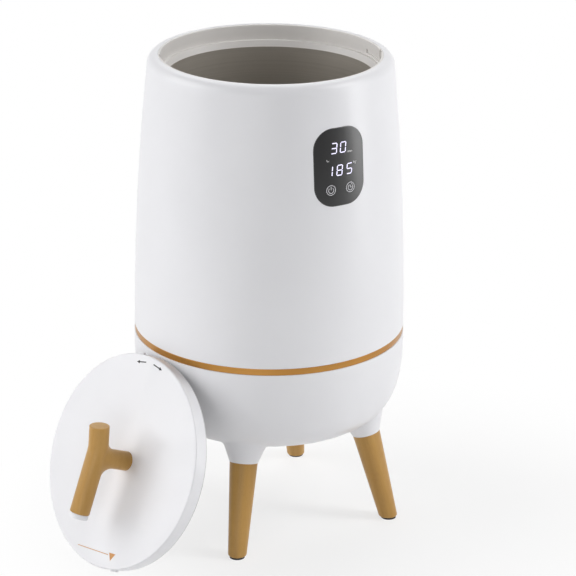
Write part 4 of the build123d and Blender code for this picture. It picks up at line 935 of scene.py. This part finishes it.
# A cool white light behind a diffuser: a soft, even glow at about the level of white paper.
display_light = lit("lit_cool_white_segment", "#E9E6FF", 0.8)
# The keys' marks are printed, and a weak painted glow stands in for the light on them, so they read as pale
# grey.
key_mark_painted_glow = lit("painted_glow_white_key_mark", "#D2D2D6", 0.5)
# Pad print: flat and dense, duller than the lid under it.
black_ink = ink("black_pad_print", "#1A1A1C", 0.5)
gold_ink = ink("gold_pad_print", "#C08A4A", 0.45)
print("lit", display_light.name, key_mark_painted_glow.name, "printed", black_ink.name, gold_ink.name)

# %% Digits
PANEL_MIDDLE = (0, 0, 480.6 * MM)
ACROSS, UPWARD = (1, 0, 0), (0, 0, 1)
DIGIT_WIDTH = 6.8            # mm between the middles of the upright bars
DIGIT_HEIGHT = 11.5          # mm between the middles of the top and bottom bars
BAR_WIDTH = 1.12             # mm
BAR_GAP = 0.8                # mm left between the ends of two bars
DIGIT_LEAN = radians(6.5)
LIT_BARS = {"0": "abcdef", "1": "bc", "3": "abgcd", "5": "afgcd", "8": "abcdefg"}
ROWS = (                     # digits, how far each one's middle is across, height, in mm
    ("30", (-7.7, 4.1), 21.5),
    ("185", (-14.2, -1.2, 12.0), -4.4),
)


def bars_of(figure, middle, height):
    """The lit bars of one digit: level ones and upright ones, each as (x, y, turned)."""
    w, h = DIGIT_WIDTH / 2, DIGIT_HEIGHT / 2
    bar_places = {
        "a": (0, h, 0), "g": (0, 0, 0), "d": (0, -h, 0),
        "b": (w, h / 2, 1), "c": (w, -h / 2, 1), "f": (-w, h / 2, 1), "e": (-w, -h / 2, 1),
    }
    chosen = [bar_places[letter] for letter in LIT_BARS[figure]]
    return [(middle + x + y * tan(DIGIT_LEAN), height + y, turned_up) for x, y, turned_up in chosen]


print("bars of an 8:", len(bars_of("8", 0, 0)))

# %% Bars of the two rows
segments = []
for row, middles, height in ROWS:
    for figure, middle in zip(row, middles):
        segments += bars_of(figure, middle, height)
digit_meshes = []
for upright, length in ((0, DIGIT_WIDTH - BAR_GAP), (1, DIGIT_HEIGHT / 2 - BAR_GAP)):
    chosen = [(x, y, 0) for x, y, turned_up in segments if turned_up == upright]
    points = bpy.data.meshes.new("bar_places")
    points.from_pydata(chosen, [], [])
    turns = points.attributes.new("turn", "FLOAT", "POINT")
    for place in turns.data:
        place.value = (pi / 2 - DIGIT_LEAN) if upright else 0
    sizes = {"Length": length, "Width": BAR_WIDTH, "Thickness": WHOLE_FILM}
    digit_meshes.append(grown(points, bar_tree, Finish=display_light, **sizes))
print("bars lit", len(segments))

# %% Units, and the display as one film
UNIT_LINE = 0.55             # mm
POINTER_LINE = 0.6
MINUTES = [
    [(10.2, 14.4), (10.4, 15.9)], [(10.3, 15.6), (11.1, 15.9), (11.7, 15.6), (11.6, 14.4)],
    [(11.8, 15.6), (12.6, 15.9), (13.1, 15.6), (13.0, 14.4)], [(14.0, 14.4), (14.2, 15.9)],
    [(14.9, 14.4), (15.1, 15.9)], [(15.0, 15.6), (15.8, 15.9), (16.4, 15.6), (16.3, 14.4)],
]
DEGREES = [
    arc((18.7, 2.0), 0.8, 0, 360, 16),
    [(20.4, -0.6), (20.7, 2.4), (22.3, 2.4)], [(20.5, 1.0), (21.9, 1.0)],
]
POINTER = [[(-17.5, 9.4), (-16.7, 7.0), (-14.7, 7.7)]]
digit_meshes.append(drawn(MINUTES + DEGREES, UNIT_LINE, display_light))
digit_meshes.append(drawn(POINTER, POINTER_LINE, display_light))
lay_film("display_digits", digit_meshes, "panel_lens", PANEL_MIDDLE, ACROSS, UPWARD, "bucket")

# %% [markdown]
# ## Marks on the keys
# Each key carries a ring and a symbol: a broken circle with an upright stroke for power, and a
# small clock for the timer. They are laid by the tools that laid the display, but each key's
# marks are a film of their own, because they ride on their key and go in with it.

# %% Key marks
KEYS_HEIGHT = 454.3 * MM
KEY_ACROSS = 12.9            # mm from the panel's middle line to a key's
RING_RADIUS = 5.6            # mm
SYMBOL_RADIUS = 3.2
SYMBOL_MIDDLE = (0, -0.3)
KEY_LINE = 0.48
POWER_STROKES = [arc(SYMBOL_MIDDLE, SYMBOL_RADIUS, 130, 410), [(0, 4.2), (0, 0.2)]]
TIMER_STROKES = [
    arc(SYMBOL_MIDDLE, SYMBOL_RADIUS, 110, 400),
    [(0, 2.6), SYMBOL_MIDDLE, (1.9, -0.3)], [(1.6, 4.2), (2.7, 2.6)],
]


def key_marks(name, key, side, strokes):
    """The ring round a key and the symbol inside it, about the key's middle."""
    ring = arc((0, 0), RING_RADIUS, 0, 360, 64)
    middle = (side * KEY_ACROSS * MM, 0, KEYS_HEIGHT)
    film = drawn([ring] + strokes, KEY_LINE, key_mark_painted_glow)
    lay_film(name, [film], key, middle, ACROSS, UPWARD, key)


key_marks("power_mark", "power_key", -1, POWER_STROKES)
key_marks("timer_mark", "timer_key", 1, TIMER_STROKES)

# %% [markdown]
# ## Marks on the lid
# Two black arrows at the lid's top tell which way to turn it, and a gold arrow near its bottom
# edge points at the catch. Each is a swept line with a filled head, in pad-printed ink. They
# stand on the lid's face, which leans, so its own way out, across and up are measured first.

# %% Heads and arrows
def filled(corners, material):
    """A filled drawing with straight sides, as thick as the film."""
    half = WHOLE_FILM / 2
    count = len(corners)
    points = [(x, y, z) for z in (-half, half) for x, y in corners]
    faces = [tuple(reversed(range(count))), tuple(range(count, 2 * count))]
    faces += [(i, (i + 1) % count, count + (i + 1) % count, count + i) for i in range(count)]
    flat = bpy.data.meshes.new("filled")
    flat.from_pydata(points, [], faces)
    flat.materials.append(material)
    return flat


def arrow(tail, tip, width, head_length, head_width, material):
    """A straight arrow from its tail to its tip."""
    way = (Vector(tip) - Vector(tail)).normalized()
    side = Vector((-way.y, way.x)) * head_width / 2
    neck = Vector(tip) - way * head_length
    left, right = neck + side, neck - side
    line = drawn([[tuple(tail), tuple(neck)]], width, material)
    return [line, filled([tuple(right), tuple(tip), tuple(left)], material)]


print("a filled head is", WHOLE_FILM, "mm thick")

# %% Middle of the lid's face
FACE_DEPTH = 0.02 * MM       # points this close to the outermost one are on the face

lid_out = Vector(next(j for j in frame["joints"] if j["name"] == "lid_lift")["axis"])
lid_across = Vector((0, 0, 1)).cross(lid_out).normalized()
lid_up = lid_out.cross(lid_across)
lid_points = [v.co for v in frame["nodes"]["lid_cover"].data.vertices]
face_level = max(p.dot(lid_out) for p in lid_points)
face_points = [p for p in lid_points if p.dot(lid_out) > face_level - FACE_DEPTH]
middle_across, middle_up = [
    (min(p.dot(way) for p in face_points) + max(p.dot(way) for p in face_points)) / 2
    for way in (lid_across, lid_up)
]
lid_middle = lid_across * middle_across + lid_up * middle_up + lid_out * face_level
print("lid middle in mm", [round(c / MM, 1) for c in lid_middle])

# %% Turn arrows and catch arrow
TURN_LINE, TURN_HEAD = 1.3, (5.0, 4.0)    # mm: the line, and the head's length and width
CATCH_LINE = 0.8
CATCH_HEAD = [(28.1, -103.5), (33.4, -111.8), (39.0, -101.9)]
CATCH_STEM = [(-27.8, -113.7), (27.0, -106.5)]

black_marks = arrow((-8.4, 118.8), (-24.0, 115.0), TURN_LINE, *TURN_HEAD, black_ink)
black_marks += arrow((5.0, 120.1), (21.6, 118.0), TURN_LINE, *TURN_HEAD, black_ink)
gold_marks = [filled(CATCH_HEAD, gold_ink), drawn([CATCH_STEM], CATCH_LINE, gold_ink)]
for name, marks in (("lid_turn_arrows", black_marks), ("lid_catch_arrow", gold_marks)):
    lay_film(name, marks, "lid_cover", lid_middle, lid_across, lid_up, "lid")

# %% [markdown]
# ## Sizes and the end
# The dressed model must stay as large as its solids, so how far it reaches past the CAD box, below and above,
# is printed.

# %% Sizes
low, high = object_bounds()
grown_low = [round(max(a - b, 0) / MM, 2) for a, b in zip(cad_box[0], low)]
grown_high = [round(max(b - a, 0) / MM, 2) for a, b in zip(cad_box[1], high)]
print("past the CAD box in mm", grown_low, grown_high)
